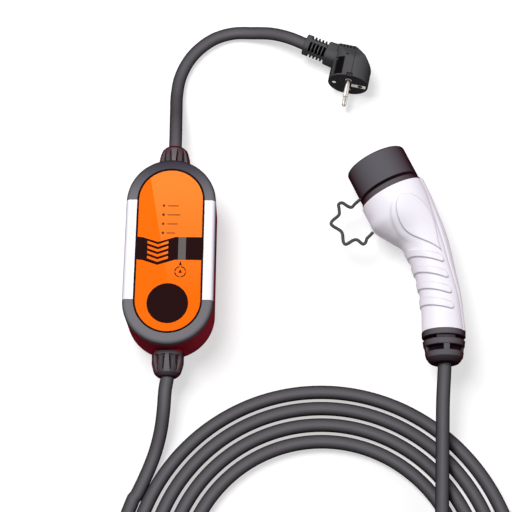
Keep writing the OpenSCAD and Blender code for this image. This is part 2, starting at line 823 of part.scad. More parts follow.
// Contact sleeves at the bottom of their holes
module contact_sleeves(places, r) {
    head_frame() at_places(places) translate([0, 0, nose_l - contact_sink - contact_l]) difference() {
        cylinder(r = r, h = contact_l);
        translate([0, 0, 2]) cylinder(r = r - contact_wall, h = contact_l);
    }
}

module power_contacts() {
    color("#cfcabb") contact_sleeves(power_places, power_hole_r - fit / 2);
}

module signal_contacts() {
    color("#cfcabb") contact_sleeves(signal_places, signal_hole_r - fit / 2);
}

// Cup over the nose
module dust_cap() {
    edge = 2.5;
    color("#3b3a3f") head_frame() difference() {
        rotate_extrude() {
            polygon([[0, slide_fit], [cap_r, slide_fit], [cap_r, cap_l - edge], [cap_r - edge, cap_l],
                [0, cap_l]]);
            translate([cap_r - edge, cap_l - edge]) circle(r = edge);
        }
        translate([0, 0, -over]) cylinder(r = cap_r - cap_wall, h = cap_l - cap_wall + over);
    }
}

// Directions along a route
function unit(v) = v / norm(v);
function heading(path, i) = unit(path[min(i + 1, len(path) - 1)] - path[max(i - 1, 0)]);

// Round cord swept along a route
module cord(path, r, sides) {
    n = len(path);
    points = [for (i = [0 : n - 1])
        let (t = heading(path, i), side = unit(cross(t, [0, 0, 1])), up = cross(side, t))
        for (j = [0 : sides - 1]) path[i] + r * (cos(360 * j / sides) * side + sin(360 * j / sides) * up)];
    skin = [for (i = [0 : n - 2], j = [0 : sides - 1])
        let (a = i * sides + j, b = i * sides + (j + 1) % sides)
        each quad(a, b, b + sides, a + sides)];
    caps = [[for (j = [sides - 1 : -1 : 0]) j], [for (j = [0 : sides - 1]) (n - 1) * sides + j]];
    polyhedron(points, concat(skin, caps), convexity = 8);
}

module cap_tether() {
    color("#4a494d") cord(tether_route, tether_d / 2, tether_sides);
}

// The boot's frame: Z down the cable from the end of the handle
module boot_frame() {
    translate([gun_at[0], gun_at[1], gun_h]) rotate([90, 0, 0]) children();
}

// Four bars across a recess of the boot
module boot_bars(low, length, r, width) {
    intersection() {
        translate([0, 0, low]) cylinder(r = r, h = length);
        for (turn = [0, 90]) rotate(turn) translate([-r, -width / 2, low]) cube([2 * r, width, length]);
    }
}

// Rubber boot: a rim, a groove crossed by columns, a ring, windows between bars and a tapered end
module handle_boot() {
    top_r = handle_end[3];
    plug_in_r = top_r - handle_wall - spigot_gap;
    core_r = top_r - 5;
    color("#2f2e33") boot_frame() difference() {
        union() {
            rotate_extrude() polygon([[0, -spigot_l], [plug_in_r, -spigot_l], [plug_in_r, 0], [top_r, 0],
                [top_r, 6], [core_r, 6.4], [core_r, 9.2], [top_r - 0.7, 9.6], [top_r - 1.2, 13],
                [core_r - 1, 13.4], [core_r - 1.6, 22], [top_r - 3, 22.4], [top_r - 4.2, 27.5],
                [top_r - 7, boot_l - 1], [top_r - 8, boot_l], [0, boot_l]]);
            boot_bars(5, 5, top_r - 0.6, 15);
            boot_bars(12.5, 10.5, top_r - 2.4, 5.5);
        }
        translate([0, 0, -spigot_l - over])
            cylinder(r = cable_r + slide_fit, h = boot_l + spigot_l + 2 * over);
    }
}

// Two-lobed saddle that grips the cable at the top of the boot
module cable_clamp() {
    clamp_l = 8;
    color("#55545a") boot_frame() translate([0, 0, -spigot_l - clamp_l]) difference() {
        intersection() {
            cylinder(r = handle_end[4] - handle_wall - 1.5, h = clamp_l);
            translate([-20, -9, 0]) cube([40, 18, clamp_l]);
        }
        translate([0, 0, -over]) cylinder(r = cable_r + slide_fit, h = clamp_l + 2 * over);
    }
}

module mains_cord() {
    color("#47464b") cord(mains_route, cable_r, cord_sides);
}

module ev_box_lead() {
    color("#47464b") cord(ev_box_route, cable_r, cord_sides);
}

module ev_gun_lead() {
    color("#47464b") cord(ev_gun_route, cable_r, cord_sides);
}

// Outer shape of the flat coil of charging cable
module ev_coil() {
    color("#47464b") translate([coil_at[0], coil_at[1], 0]) rotate_extrude()
        band2d(coil_inner_r, 0, coil_outer_r, cable_d);
}

rear_shell();
front_shell();
housing_seal();
housing_screws();
side_grip_left();
side_grip_right();
panel_seal();
front_panel();
panel_band();
panel_badge();
display_window();
status_lights();
display_board();
circuit_board();
board_screws();
power_relays();
leakage_sensor();
supply_transformer();
terminal_blocks();
mains_gland_body();
mains_gland_nut();
ev_gland_body();
ev_gland_nut();
gland_seals();
plug_body();
plug_pins();
earth_contacts();
handle_shell_upper();
handle_shell_lower();
nose_housing();
power_contacts();
signal_contacts();
dust_cap();
cap_tether();
handle_boot();
cable_clamp();
mains_cord();
ev_box_lead();
ev_coil();
ev_gun_lead();
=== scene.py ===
# %% [markdown]
# # A portable EV charger
# A control box with an orange panel has a mains plug on a short cord above it and, below, a
# charging cable that runs through a coil to a white connector with a tethered dust cap. The packed
# CAD model gives every place and size; this lesson dresses it. Shapes are in millimetres; the
# camera, lamps and cord data are in metres.

# %% Load the frame
import math

import bmesh
import bpy
import numpy as np
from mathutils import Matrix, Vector


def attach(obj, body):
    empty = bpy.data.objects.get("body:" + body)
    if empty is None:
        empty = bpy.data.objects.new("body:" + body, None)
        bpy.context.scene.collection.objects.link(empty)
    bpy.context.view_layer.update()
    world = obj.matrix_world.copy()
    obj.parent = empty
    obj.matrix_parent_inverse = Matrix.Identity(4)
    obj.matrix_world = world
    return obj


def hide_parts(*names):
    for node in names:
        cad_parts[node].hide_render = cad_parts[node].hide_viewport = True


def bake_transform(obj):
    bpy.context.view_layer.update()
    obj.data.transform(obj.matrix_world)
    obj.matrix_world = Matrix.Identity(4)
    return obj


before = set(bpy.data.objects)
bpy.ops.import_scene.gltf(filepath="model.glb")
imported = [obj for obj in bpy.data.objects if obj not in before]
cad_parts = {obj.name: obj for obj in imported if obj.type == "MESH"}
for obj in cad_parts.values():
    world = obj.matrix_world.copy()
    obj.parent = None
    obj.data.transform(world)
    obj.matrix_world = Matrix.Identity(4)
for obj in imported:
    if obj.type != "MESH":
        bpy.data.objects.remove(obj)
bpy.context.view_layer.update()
scene = bpy.context.scene
scene.view_settings.view_transform = "Standard"
MM = 0.001

# %% [markdown]
# ## Camera
# The photograph looks steeply down with a long lens, so far sides shrink only a little. A target,
# a distance and two angles fix the camera. It could be placed by hand, but written angles keep the
# view exact and easy to change.

# %% Camera
TARGET = Vector((0.0788, 0.0138, 0.0))
DISTANCE, ELEVATION, TURN = 1.223, math.radians(71), 0.012


def add_camera(lens, sensor):
    """Camera at the target plus the distance along the direction of elevation and turn."""
    back = Vector((math.sin(TURN) * math.cos(ELEVATION), -math.cos(TURN) * math.cos(ELEVATION),
                   math.sin(ELEVATION)))
    data = bpy.data.cameras.new("photo_camera")
    data.lens, data.sensor_width = lens, sensor
    camera = bpy.data.objects.new("photo_camera", data)
    camera.location = TARGET + DISTANCE * back
    camera.rotation_euler = (-back).to_track_quat("-Z", "Y").to_euler()
    scene.collection.objects.link(camera)
    scene.camera = camera
    return camera


camera = add_camera(lens=90, sensor=36)
print("camera at", [round(v, 3) for v in camera.location])

# %% [markdown]
# ## From grids of points to pieces
# Every new piece is one or more grids of points worked out as whole arrays. Each point and its
# neighbours make a quad, and a grid that runs round something is closed with its first column.
# Modelling by hand would also do, but a formula keeps each piece true to its named sizes.

# %% Grid helpers
MERGE, SLIVER, UP = 2e-6, 1e-7, np.array([0, 0, 1])


def sheet(points, closed=True):
    """A grid's points, and its quads of each point with the next in its row and column."""
    index = np.arange(points.size // 3).reshape(points.shape[:2])
    if closed:
        index = np.hstack([index, index[:, :1]])
    corners = index[:-1, :-1], index[1:, :-1], index[1:, 1:], index[:-1, 1:]
    return points.reshape(-1, 3), np.stack(corners, axis=-1).reshape(-1, 4)


def add_piece(name, sheets, body="charger", nodes=(), sharp=40, marks=None):
    """One mesh from several grids: doubles merged, smooth but for sharp edges."""
    starts = np.cumsum([0] + [len(points) for points, _ in sheets[:-1]])
    vertices = np.concatenate([points for points, _ in sheets]) * MM
    faces = np.concatenate([quads + start for (_, quads), start in zip(sheets, starts)])
    mesh = bpy.data.meshes.new(name)
    mesh.from_pydata(vertices, [], faces)
    if marks is not None:
        layer = mesh.attributes.new("marks", "FLOAT_VECTOR", "POINT")
        layer.data.foreach_set("vector", marks.ravel())
    work = bmesh.new()
    work.from_mesh(mesh)
    bmesh.ops.remove_doubles(work, verts=work.verts, dist=MERGE)
    bmesh.ops.dissolve_degenerate(work, edges=work.edges, dist=SLIVER)
    bmesh.ops.recalc_face_normals(work, faces=work.faces)
    work.to_mesh(mesh)
    work.free()
    mesh.polygons.foreach_set("use_smooth", np.ones(len(mesh.polygons), dtype=bool))
    mesh.set_sharp_from_angle(angle=math.radians(sharp))
    piece = bpy.data.objects.new(name, mesh)
    scene.collection.objects.link(piece)
    if body:
        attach(piece, body)
    if nodes:
        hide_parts(*nodes)
    print(name, len(mesh.polygons), "faces")
    return piece


def painted_shade_marks(sheets, *fields):
    """Painted shade of every point: a field on the sheet it belongs to, zero on the others."""
    parts = [np.zeros(len(points)) for points, _ in sheets]
    for place, field in fields:
        parts[place] = field.ravel()
    return np.concatenate(parts)[:, None] * [1.0, 0.0, 0.0]


def ease(t):
    """Soft step from 0 to 1: three t squared minus two t cubed, flat outside."""
    t = np.clip(t, 0, 1)
    return t * t * (3 - 2 * t)


def smooth_rows(rows, at):
    """Cubic through rows keyed by their first column, with the neighbours' chord as slope."""
    rows, at = np.asarray(rows, float), np.asarray(at, float)
    key = rows[:, 0]
    number = np.arange(len(key))
    low, high = np.maximum(number - 1, 0), np.minimum(number + 1, len(key) - 1)
    slope = (rows[high] - rows[low]) / (key[high] - key[low])[:, None]
    i = np.clip(np.searchsorted(key, at) - 1, 0, len(key) - 2)
    gap = (key[i + 1] - key[i])[:, None]
    t = ((at - key[i])[:, None]) / gap
    return (rows[i] * (2 * t**3 - 3 * t**2 + 1) + rows[i + 1] * (3 * t**2 - 2 * t**3)
            + slope[i] * gap * (t**3 - 2 * t**2 + t) + slope[i + 1] * gap * (t**3 - t**2))


# %% [markdown]
# ## Cords
# The mains cord is only as long as it shows. The charging cable is 4.5 m: it leaves the box, winds
# four and a half turns side by side on the floor, climbs over them and enters the connector. A
# curve with a bevel would do, but rings of points can also carry marks for the jacket's finish.

# %% Routes
CABLE_R, GUN_H, GLAND_H = 6.2, 32.25, 26
MAINS_ROUTE = [
    (0, 102.4, GLAND_H), (0, 124, 25.5), (-0.5, 142, 21.5), (-1.2, 160, 14.5), (-1.6, 178, 8.5),
    (0.8, 198, 6), (7.8, 215.6, 6), (18.6, 230.4, 6), (34.4, 242.9, 6), (53, 249.2, 6),
    (72, 248.8, 8), (91.5, 245.6, 13), (109, 238.6, 18), (125.8, 230.2, 20), (132.3, 227.4, 20)]
BOX_LEAD = [
    (0, -102.4, GLAND_H), (0, -112.4, GLAND_H), (-1.6, -124, 25.5), (-2.7, -142, 21.5),
    (-5.2, -160, 14.5), (-9.9, -178, 8.5), (-17.4, -198, 6), (-25.4, -216, 6)]
GUN_LEAD = [
    (245, -270, 8), (245.2, -255, 13), (245.3, -245, 16.5), (245.4, -235, 18.2),
    (245.6, -224, 18.4), (246.7, -196, 19.6), (247.2, -172, 23), (247.6, -150, 27),
    (248.2, -130, 30), (249.4, -112, GUN_H), (250.4, -98, GUN_H), (250.4, -88, GUN_H)]
COIL_AT, COIL_PITCH, WIDENED = (142, -288), 15.2, 1.013
ANGLE_IN, ANGLE_OUT, OUTER_R, FIRST_R = 157, 1800, 181.4, 168.2


def coil_points(step=10):
    """Turns of one radius above, drawn in by a pitch in the lower half, and widened in x."""
    angle = np.arange(ANGLE_IN, ANGLE_OUT + step / 2, step)
    turns = angle / 360 - 1
    whole = np.floor(turns)
    inner = FIRST_R - COIL_PITCH * (whole + ease((turns - whole - 0.5) * 2))
    first = OUTER_R + (FIRST_R - OUTER_R) * ease((angle - ANGLE_IN) / (360 - ANGLE_IN))
    radius = np.where(turns < 0, first, inner)
    flat = np.radians(angle)
    x, y = COIL_AT[0] + WIDENED * radius * np.cos(flat), COIL_AT[1] + radius * np.sin(flat)
    return np.column_stack([x, y, np.full_like(flat, CABLE_R)])


def smooth_path(points, step):
    """Even steps on the cubic curve through the points, keyed by the chord length so far."""
    points = np.asarray(points, float)
    run = np.concatenate([[0], np.cumsum(np.linalg.norm(np.diff(points, axis=0), axis=1))])
    at = np.linspace(0, run[-1], int(run[-1] / step) + 1)
    return smooth_rows(np.column_stack([run, points]), at)[:, 1:]


def path_length(path):
    """Sum of the distances between neighbouring points."""
    return float(np.linalg.norm(np.diff(path, axis=0), axis=1).sum())


mains_path = smooth_path(MAINS_ROUTE, step=3)
ev_path = smooth_path(np.vstack([BOX_LEAD, coil_points(), GUN_LEAD]), step=4)
print("cords:", [round(path_length(path)) for path in (mains_path, ev_path)], "mm")

# %% [markdown]
# A cord is a circle carried along its route. Its sideways direction is the heading crossed with
# up, which is safe because no cord here stands upright. Each point is marked with its run along
# the cord and its turn round it, so that a jacket's lines can follow the cord.

# %% Cord pieces
def full_turn(count):
    """Even angles once round, without the last, which is the first again."""
    return np.linspace(0, 2 * np.pi, count, endpoint=False)


def tube_rings(path, radius, sides):
    """Circle of a radius about each path point, square to the path's heading."""
    heading = np.gradient(path, axis=0)
    heading /= np.linalg.norm(heading, axis=1)[:, None]
    across = np.cross(heading, UP)
    across /= np.linalg.norm(across, axis=1)[:, None]
    upward = np.cross(across, heading)
    turn = full_turn(sides)[None, :, None]
    ring = np.cos(turn) * across[:, None] + np.sin(turn) * upward[:, None]
    return path[:, None] + radius * ring


def add_cord(name, path, radius, sides, nodes, body="charger"):
    """Closed tube along a path, marked with run, cosine and sine of turn."""
    rings = tube_rings(path, radius, sides)
    ends = [np.stack([rings[k], np.repeat(path[k][None], sides, axis=0)]) for k in (0, -1)]
    turn = np.tile(full_turn(sides), len(path))
    run = np.repeat(np.linspace(0, path_length(path), len(path)), sides)
    side_marks = np.column_stack([run, np.cos(turn), np.sin(turn)])
    end_marks = np.zeros((4 * sides, 3))
    return add_piece(name, [sheet(points) for points in [rings] + ends], body, nodes,
                     marks=np.vstack([side_marks, end_marks]))


mains_cable = add_cord("mains_cable", mains_path, CABLE_R, sides=32, nodes=["mains_cord"])
ev_cable = add_cord("ev_cable", ev_path, CABLE_R, sides=32,
                    nodes=["ev_box_lead", "ev_coil", "ev_gun_lead"])

# %% [markdown]
# The cap hangs on a thin zigzag strap that can stretch, laid here as a thin cord along its route.

# %% Cap strap
STRAP_ROUTE = [
    (176.9, 60.7), (171.6, 55.8), (168.4, 52.3), (165.2, 53.0), (159.4, 56.6), (156.2, 55.2),
    (156.6, 49.6), (156.4, 44.6), (149.8, 38), (149.2, 34.6), (157.8, 28.4), (159.4, 25.6),
    (160.4, 17), (162.6, 15.2), (170.2, 19.6), (173.2, 19.6), (178.4, 15.6), (180.8, 17),
    (182.4, 21.4), (185.4, 24.4), (188, 27.4)]
STRAP_R = 1.5
strap_path = smooth_path([(x, y, GUN_H) for x, y in STRAP_ROUTE], step=0.8)
cap_strap = add_cord("cap_strap", strap_path, STRAP_R, sides=16, nodes=["cap_tether"], body=None)
print("strap", round(path_length(strap_path), 1), "mm")

# %% [markdown]
# ## A shared moulded surface
# Nearly every piece is moulded plastic or rubber, with a fine grain, a gloss that drifts a little
# and a colour that is not quite even. Each finish could repeat those nodes, but one node group
# with named inputs serves them all.

# %% Node helpers
def put(tree, kind, inputs=(), **properties):
    """Adds a node, sets its properties and fills or links its input sockets."""
    node = tree.nodes.new("ShaderNode" + kind)
    for key, value in properties.items():
        setattr(node, key, value)
    for key, value in dict(inputs).items():
        if isinstance(value, bpy.types.NodeSocket):
            tree.links.new(value, node.inputs[key])
        else:
            node.inputs[key].default_value = value
    return node


def math_node(tree, operation, first, second=0.0, clamp=False):
    """Output of one arithmetic node."""
    return put(tree, "Math", operation=operation, use_clamp=clamp,
               inputs={0: first, 1: second}).outputs[0]


def mixed(tree, share, first, second):
    """First colour going to the second as the share goes from zero to one."""
    return put(tree, "Mix", data_type="RGBA",
               inputs={"Factor": share, 6: first, 7: second}).outputs[2]


def ramp(tree, value, low, high, kind="SMOOTHSTEP", start=0.0):
    """From the start to one as the value goes from low to high."""
    limits = {"From Min": low, "From Max": high, "To Min": start}
    return put(tree, "MapRange", interpolation_type=kind,
               inputs={"Value": value, **limits}).outputs[0]


def noise(tree, place, scale, detail):
    """Value of a noise at a place."""
    return put(tree, "TexNoise", {"Vector": place, "Scale": scale, "Detail": detail}).outputs[0]


def swing(tree, value, amount):
    """Noise about its middle: the value minus a half, times an amount."""
    return math_node(tree, "MULTIPLY", math_node(tree, "SUBTRACT", value, 0.5), amount)


def object_place(tree):
    """Place of a point in its object's own coordinates, in metres."""
    return put(tree, "TexCoord").outputs["Object"]


def point_marks(tree):
    """The three values that a point was marked with."""
    return put(tree, "Attribute", attribute_name="marks").outputs["Vector"]


def on_axis(tree, vector, axis):
    """One axis of a vector."""
    return put(tree, "SeparateXYZ", {0: vector}).outputs[axis]


# %% Moulded surface group
GROUP_INPUTS = "Vector", "Color", "Drift", "Grain", "Roughness", "Spread"
GROUP_OUTPUTS = "Color", "Roughness", "Height"


def moulded_group(slow_scale, coarser):
    """Colour x (1 + slow noise), roughness + coarser noise, and height from fine noise."""
    tree = bpy.data.node_groups.new("moulded_surface", "ShaderNodeTree")
    for way, names in (("INPUT", GROUP_INPUTS), ("OUTPUT", GROUP_OUTPUTS)):
        for name in names:
            kind = name if name in ("Vector", "Color") else "Float"
            tree.interface.new_socket(name, in_out=way, socket_type="NodeSocket" + kind)
    given, result = tree.nodes.new("NodeGroupInput").outputs, tree.nodes.new("NodeGroupOutput")
    place, grain = given["Vector"], given["Grain"]
    slow = noise(tree, place, slow_scale, detail=3.0)
    middle = noise(tree, place, math_node(tree, "MULTIPLY", grain, coarser), detail=4.0)
    fine = noise(tree, place, grain, detail=2.0)
    value = math_node(tree, "ADD", swing(tree, slow, given["Drift"]), 1.0)
    colour = put(tree, "HueSaturation", {"Color": given["Color"], "Value": value})
    sway = swing(tree, middle, given["Spread"])
    rough = math_node(tree, "ADD", given["Roughness"], sway, clamp=True)
    for socket, source in (("Color", colour.outputs[0]), ("Roughness", rough), ("Height", fine)):
        tree.links.new(source, result.inputs[socket])
    return tree


MOULDED = moulded_group(slow_scale=28.0, coarser=0.07)
print("group", MOULDED.name, [s.name for s in MOULDED.interface.items_tree])

# %% [markdown]
# ## Finishes
# A finish is one material: the moulded group feeds colour, roughness and bump of a Principled
# shader, and what is the same all over is set on the shader itself. Towards a piece's outline the
# colour is painted darker, as shade: black plastics go to a deep wine red, a painted red rim light,
# and white ones to lavender, a painted lavender light. A sheen layer could tint the outline too,
# but it only brightens, and here the outlines are darker.

# %% One moulded finish
looks = {}


def new_material(name, **constants):
    """Material with one Principled shader and its constant sockets set, kept by name."""
    material = looks[name] = bpy.data.materials.new(name)
    material.use_nodes = True
    shader = material.node_tree.nodes["Principled BSDF"]
    for socket, value in constants.items():
        shader.inputs[socket.replace("_", " ")].default_value = value
    return material.node_tree, shader


def lay_surface(tree, shader, place, colour, roughness, grain, depth, drift, spread, strength=0.5):
    """Moulded group feeding the shader's roughness and, by a bump in mm, its normal."""
    surface = put(tree, "Group", node_tree=MOULDED,
                  inputs={"Vector": place, "Color": (*colour, 1), "Drift": drift, "Grain": grain,
                          "Roughness": roughness, "Spread": spread})
    bump = put(tree, "Bump", {"Strength": strength, "Distance": depth * MM,
                              "Height": surface.outputs["Height"]})
    tree.links.new(surface.outputs["Roughness"], shader.inputs["Roughness"])
    tree.links.new(bump.outputs[0], shader.inputs["Normal"])
    return surface


def painted_outline_shade(tree, colour, edge, power, gain):
    """Painted outline shade: colour going to the edge's by (1 - viewing cosine) to a power, times a
    gain.
    """
    facing = put(tree, "LayerWeight").outputs["Facing"]
    share = math_node(tree, "MULTIPLY", math_node(tree, "POWER", facing, power), gain, clamp=True)
    return mixed(tree, share, colour, (*edge, 1))


def moulded(name, colour, roughness, grain=1800.0, depth=0.06, drift=0.10, spread=0.12, edge=None,
            power=1.0, gain=1.0, **constants):
    """Finish from the moulded group in object coordinates, with painted outline shade if an edge
    colour is given.
    """
    tree, shader = new_material(name, **constants)
    surface = lay_surface(tree, shader, object_place(tree), colour, roughness, grain, depth, drift,
                          spread)
    tint = surface.outputs["Color"]
    if edge:
        tint = painted_outline_shade(tree, tint, edge, power, gain)
    tree.links.new(tint, shader.inputs["Base Color"])
    return tree, shader, surface

# %% [markdown]
# Some finishes mix two colours, and a share for each point says how far the colour has gone to the
# second: cuts, recesses and fine lines get painted shade where points are marked, and the bezel is
# darker towards its upper end. Each colour could be a material of its own, but then its edge would
# be hard.

# %% Two tones
BEZEL_FROM, BEZEL_TO = 44, 94


def toned(name, colour, shade, share_of, roughness, **finish):
    """Moulded finish whose colour goes to the shade as the share of a point goes to one."""
    tree, _, surface = moulded(name, colour, roughness, **finish)
    tone = mixed(tree, share_of(tree), (*colour, 1), (*shade, 1))
    tree.links.new(tone, surface.inputs["Color"])


def marked(tree):
    """Share of painted shade, given by the first value of a point's mark."""
    return on_axis(tree, point_marks(tree), "X")


def up_the_box(tree):
    """Share that grows along the box between two places."""
    return ramp(tree, on_axis(tree, object_place(tree), "Y"), BEZEL_FROM * MM, BEZEL_TO * MM)


# %% Moulded finishes
# The outline colours below are painted shade, and their red and lavender tints a painted rim light;
# the near black and the line grey are painted shade in cuts, recesses, seams and step lines.
PAINTED_WINE_RIM, PAINTED_DUSK_RIM, PAINTED_NIGHT_RIM = (0.070, 0.004, 0.010), (0.036, 0.010, 0.015), (0.008, 0.005, 0.007)
PAINTED_SHADE_BLACK, PAINTED_LAVENDER_RIM, PAINTED_VIOLET_RIM = (0.006, 0.005, 0.006), (0.62, 0.47, 0.57), (0.34, 0.30, 0.42)
WHITE, PAINTED_LINE_SHADE, BLACK = (0.93, 0.908, 0.985), (0.30, 0.28, 0.33), (0.165, 0.160, 0.172)
MATT = {"Specular_IOR_Level": 0.0}
GLOSSY = {"roughness": 0.40, "grain": 900.0, "depth": 0.01, "drift": 0.02}
RUBBER = {"roughness": 0.62, "grain": 1300.0, "depth": 0.05, "edge": PAINTED_DUSK_RIM, "power": 1.2,
          "gain": 1.6, **MATT}

moulded("pearl_white", WHITE, edge=PAINTED_VIOLET_RIM, power=1.3, gain=1.3, Specular_IOR_Level=0.15, **GLOSSY)
toned("pearl_grip", WHITE, PAINTED_LINE_SHADE, marked, edge=PAINTED_LAVENDER_RIM, power=2.4, Specular_IOR_Level=0.25,
      **GLOSSY)
toned("charcoal", BLACK, PAINTED_SHADE_BLACK, marked, 0.48, edge=PAINTED_WINE_RIM, power=1.1, gain=1.5, **MATT)
toned("plug_black", (0.095, 0.095, 0.099), PAINTED_SHADE_BLACK, marked, 0.50, edge=PAINTED_NIGHT_RIM, power=1.1, **MATT)
toned("bezel_grey", (0.190, 0.184, 0.198), (0.040, 0.034, 0.052), up_the_box, 0.46, edge=PAINTED_NIGHT_RIM,
      **MATT)
# The outline colours of the maroon and the strap are painted shade.
moulded("maroon", (0.470, 0.028, 0.052), 0.50, edge=(0.200, 0.012, 0.022), power=2.0, **MATT)
toned("soft_rubber", (0.130, 0.123, 0.138), PAINTED_SHADE_BLACK, marked, **RUBBER)
moulded("strap_rubber", (0.085, 0.083, 0.088), 0.60, edge=(0.035, 0.033, 0.036), power=2.0, **MATT)
moulded("seal_black", (0.014, 0.008, 0.009), 0.55, **MATT)
moulded("board_green", (0.015, 0.10, 0.04), 0.40, grain=600.0)
moulded("part_case", (0.025, 0.028, 0.035), 0.45)
moulded("core_gold", (0.42, 0.25, 0.06), 0.40, grain=700.0)
print("finishes so far:", len(looks))

# %% [markdown]
# The pins are nickel plated and drawn lengthways, the screws are zinc plated. Both are metals with
# streaks: noise that is stretched along one axis by a Mapping node.

# %% Metals
def streaked_metal(name, colour, roughness, stretch):
    """Metal whose roughness and height come from noise stretched by a factor on each axis."""
    tree, shader = new_material(name, Metallic=1.0)
    mapped = put(tree, "Mapping", {"Vector": object_place(tree), "Scale": stretch})
    surface = lay_surface(tree, shader, mapped.outputs[0], colour, roughness, grain=900.0,
                          depth=0.02, drift=0.12, spread=0.16, strength=0.25)
    tree.links.new(surface.outputs["Color"], shader.inputs["Base Color"])


streaked_metal("nickel", (0.52, 0.49, 0.45), 0.24, (1.0, 0.15, 1.0))
streaked_metal("zinc", (0.62, 0.62, 0.64), 0.36, (1.0, 1.0, 0.3))
print("finishes so far:", len(looks))

# %% [markdown]
# The cables have an extruded jacket: satin, with faint lines that follow the length. The marks on
# each cord give the run and the turn, so the noise is squeezed along the run and never slides.

# %% Cable jacket
def jacket(name, colour, roughness, squeeze, spread):
    """Moulded finish whose roughness adds a noise of the marks, squeezed along the run."""
    # The jacket's outline is painted darker, as shade.
    tree, shader, surface = moulded(name, colour, roughness, drift=0.12, edge=PAINTED_NIGHT_RIM, power=0.45,
                                    **MATT)
    lines = put(tree, "Mapping", {"Vector": point_marks(tree), "Scale": squeeze})
    streak = swing(tree, noise(tree, lines.outputs[0], 1.0, detail=3.0), spread)
    rough = math_node(tree, "ADD", surface.outputs["Roughness"], streak, clamp=True)
    tree.links.new(rough, shader.inputs["Roughness"])


jacket("cable_jacket", (0.166, 0.157, 0.172), 0.50, squeeze=(0.01, 9.0, 9.0), spread=0.22)
print("finishes so far:", len(looks))

# %% [markdown]
# Where the cap meets the collar of the nose there is a deep shaded seam. The finish of both
# measures how far a point lies along the connector's axis and paints that shade, going to black
# within a millimetre or two of the seam. Marks on the points would also do, but the imported
# meshes stay as they are.

# %% Seam finishes
HEAD_AXIS, SEAM_AT = (-0.422618, 0.906308, 0.0), -22.3


def painted_seam_shade(half, soft):
    """Share of painted shade: one within a half width of the seam along the axis, then falls
    softly.
    """
    def share(tree):
        run = put(tree, "VectorMath", operation="DOT_PRODUCT",
                  inputs={0: object_place(tree), 1: HEAD_AXIS}).outputs["Value"]
        away = math_node(tree, "ABSOLUTE", math_node(tree, "SUBTRACT", run, SEAM_AT * MM))
        inside = math_node(tree, "SUBTRACT", (half + soft) * MM, away)
        return math_node(tree, "DIVIDE", inside, soft * MM, clamp=True)
    return share


toned("cap_rubber", (0.118, 0.114, 0.130), PAINTED_SHADE_BLACK, painted_seam_shade(1.4, 0.9), **RUBBER)
toned("nose_black", (0.145, 0.140, 0.152), PAINTED_SHADE_BLACK, painted_seam_shade(0.8, 0.8), 0.48, edge=PAINTED_DUSK_RIM, power=1.1,
      gain=1.5, **MATT)
print("finishes so far:", len(looks))

# %% [markdown]
# ## Connector handle
# The white handle took most skill to shape: a bent grip that swells into a round head, with four
# finger ribs, a teardrop field and a strip along the back. It could be sculpted, but here each
# ring is an ellipse whose place, slant and half sizes come from a smooth curve through ten rows,
# and the raised fields are added along its radius.

# %% Handle rows and reliefs
HANDLE_AT = np.array([250.4, -66.6])
HANDLE_ROWS = [
    (-2.6, 0, 0, 19.6, 19.6), (16, -0.5, -12, 19.4, 18.9), (34, -2.2, -15, 20.1, 18.7),
    (50, -5.3, -16, 21, 19.3), (66, -9.9, -14, 22.4, 20.5), (78, -14, -5, 23.2, 21.5),
    (92, -22, 12, 26.4, 23.5), (106, -32, 20, 30.8, 28.5), (118, -37, 25, 31.4, 31),
    (131, -43, 25, 31.6, 31.6)]
HANDLE_WALL = 3.0
RIB_FIRST, RIB_PITCH, RIB_W, RIB_H, RIB_TURN = 20, 14.9, 7.2, 1.3, np.radians(65)
TEAR_TOP, TEAR_TIP = np.array([212.3, 51.5]), np.array([252.0, -1.0])
TEAR_HALF, TEAR_WIDEST, TEAR_ROUND, TEAR_SOFT = 15.6, 22, 24, 1.6
CREASE_OFF, CREASE_W, CREASE_H = 5.5, 1.3, 0.35
STRIP_H, STRIP_RISE, GROOVE_H, GROOVE_W = 0.5, 10, 0.45, 3.5


def rib_field(run, radius, turn):
    """One where one of four ribs' middle lines is near; also the painted shade line along a rib's
    edge.
    """
    start = radius * RIB_TURN + RIB_W / 2
    nearest = RIB_FIRST + RIB_PITCH * np.clip(np.round((run - RIB_FIRST) / RIB_PITCH), 0, 3)
    away = np.hypot(run - nearest, np.maximum(0, start - radius * turn))
    return ease(RIB_W / 2 + 0.5 - away), np.exp(-((away - RIB_W / 2) / 0.7) ** 2)


def tear_fields(plan):
    """Teardrop, round at its top and a cosine to its tip, and a soft crease on its left."""
    axis = TEAR_TIP - TEAR_TOP
    length = np.linalg.norm(axis)
    axis = axis / length
    run, side = (plan - TEAR_TOP) @ axis, (plan - TEAR_TOP) @ np.array([-axis[1], axis[0]])
    head = np.sqrt(np.maximum(0, 1 - ((TEAR_WIDEST - run) / TEAR_ROUND) ** 2))
    tail = np.cos(np.pi / 2 * np.clip((run - TEAR_WIDEST) / (length - TEAR_WIDEST), 0, 1)) ** 2
    half = TEAR_HALF * np.where(run < TEAR_WIDEST, head, tail)
    ends = ease((run + 4) / 8) * ease((40 - run) / 14)
    crease = np.exp(-((side + half + CREASE_OFF) / CREASE_W) ** 2) * ends
    return ease((half - np.abs(side)) / TEAR_SOFT), crease


def strip_fields(run, turn):
    """Strip that rises from a groove along the back, and follows the bend of the grip."""
    edge = 34 + 15 * ease((run - 15) / 55) - 13 * ease((run - 80) / 40)
    beyond = edge - np.degrees(turn)
    return ease(beyond / STRIP_RISE), np.exp(-((beyond / GROOVE_W) ** 2))


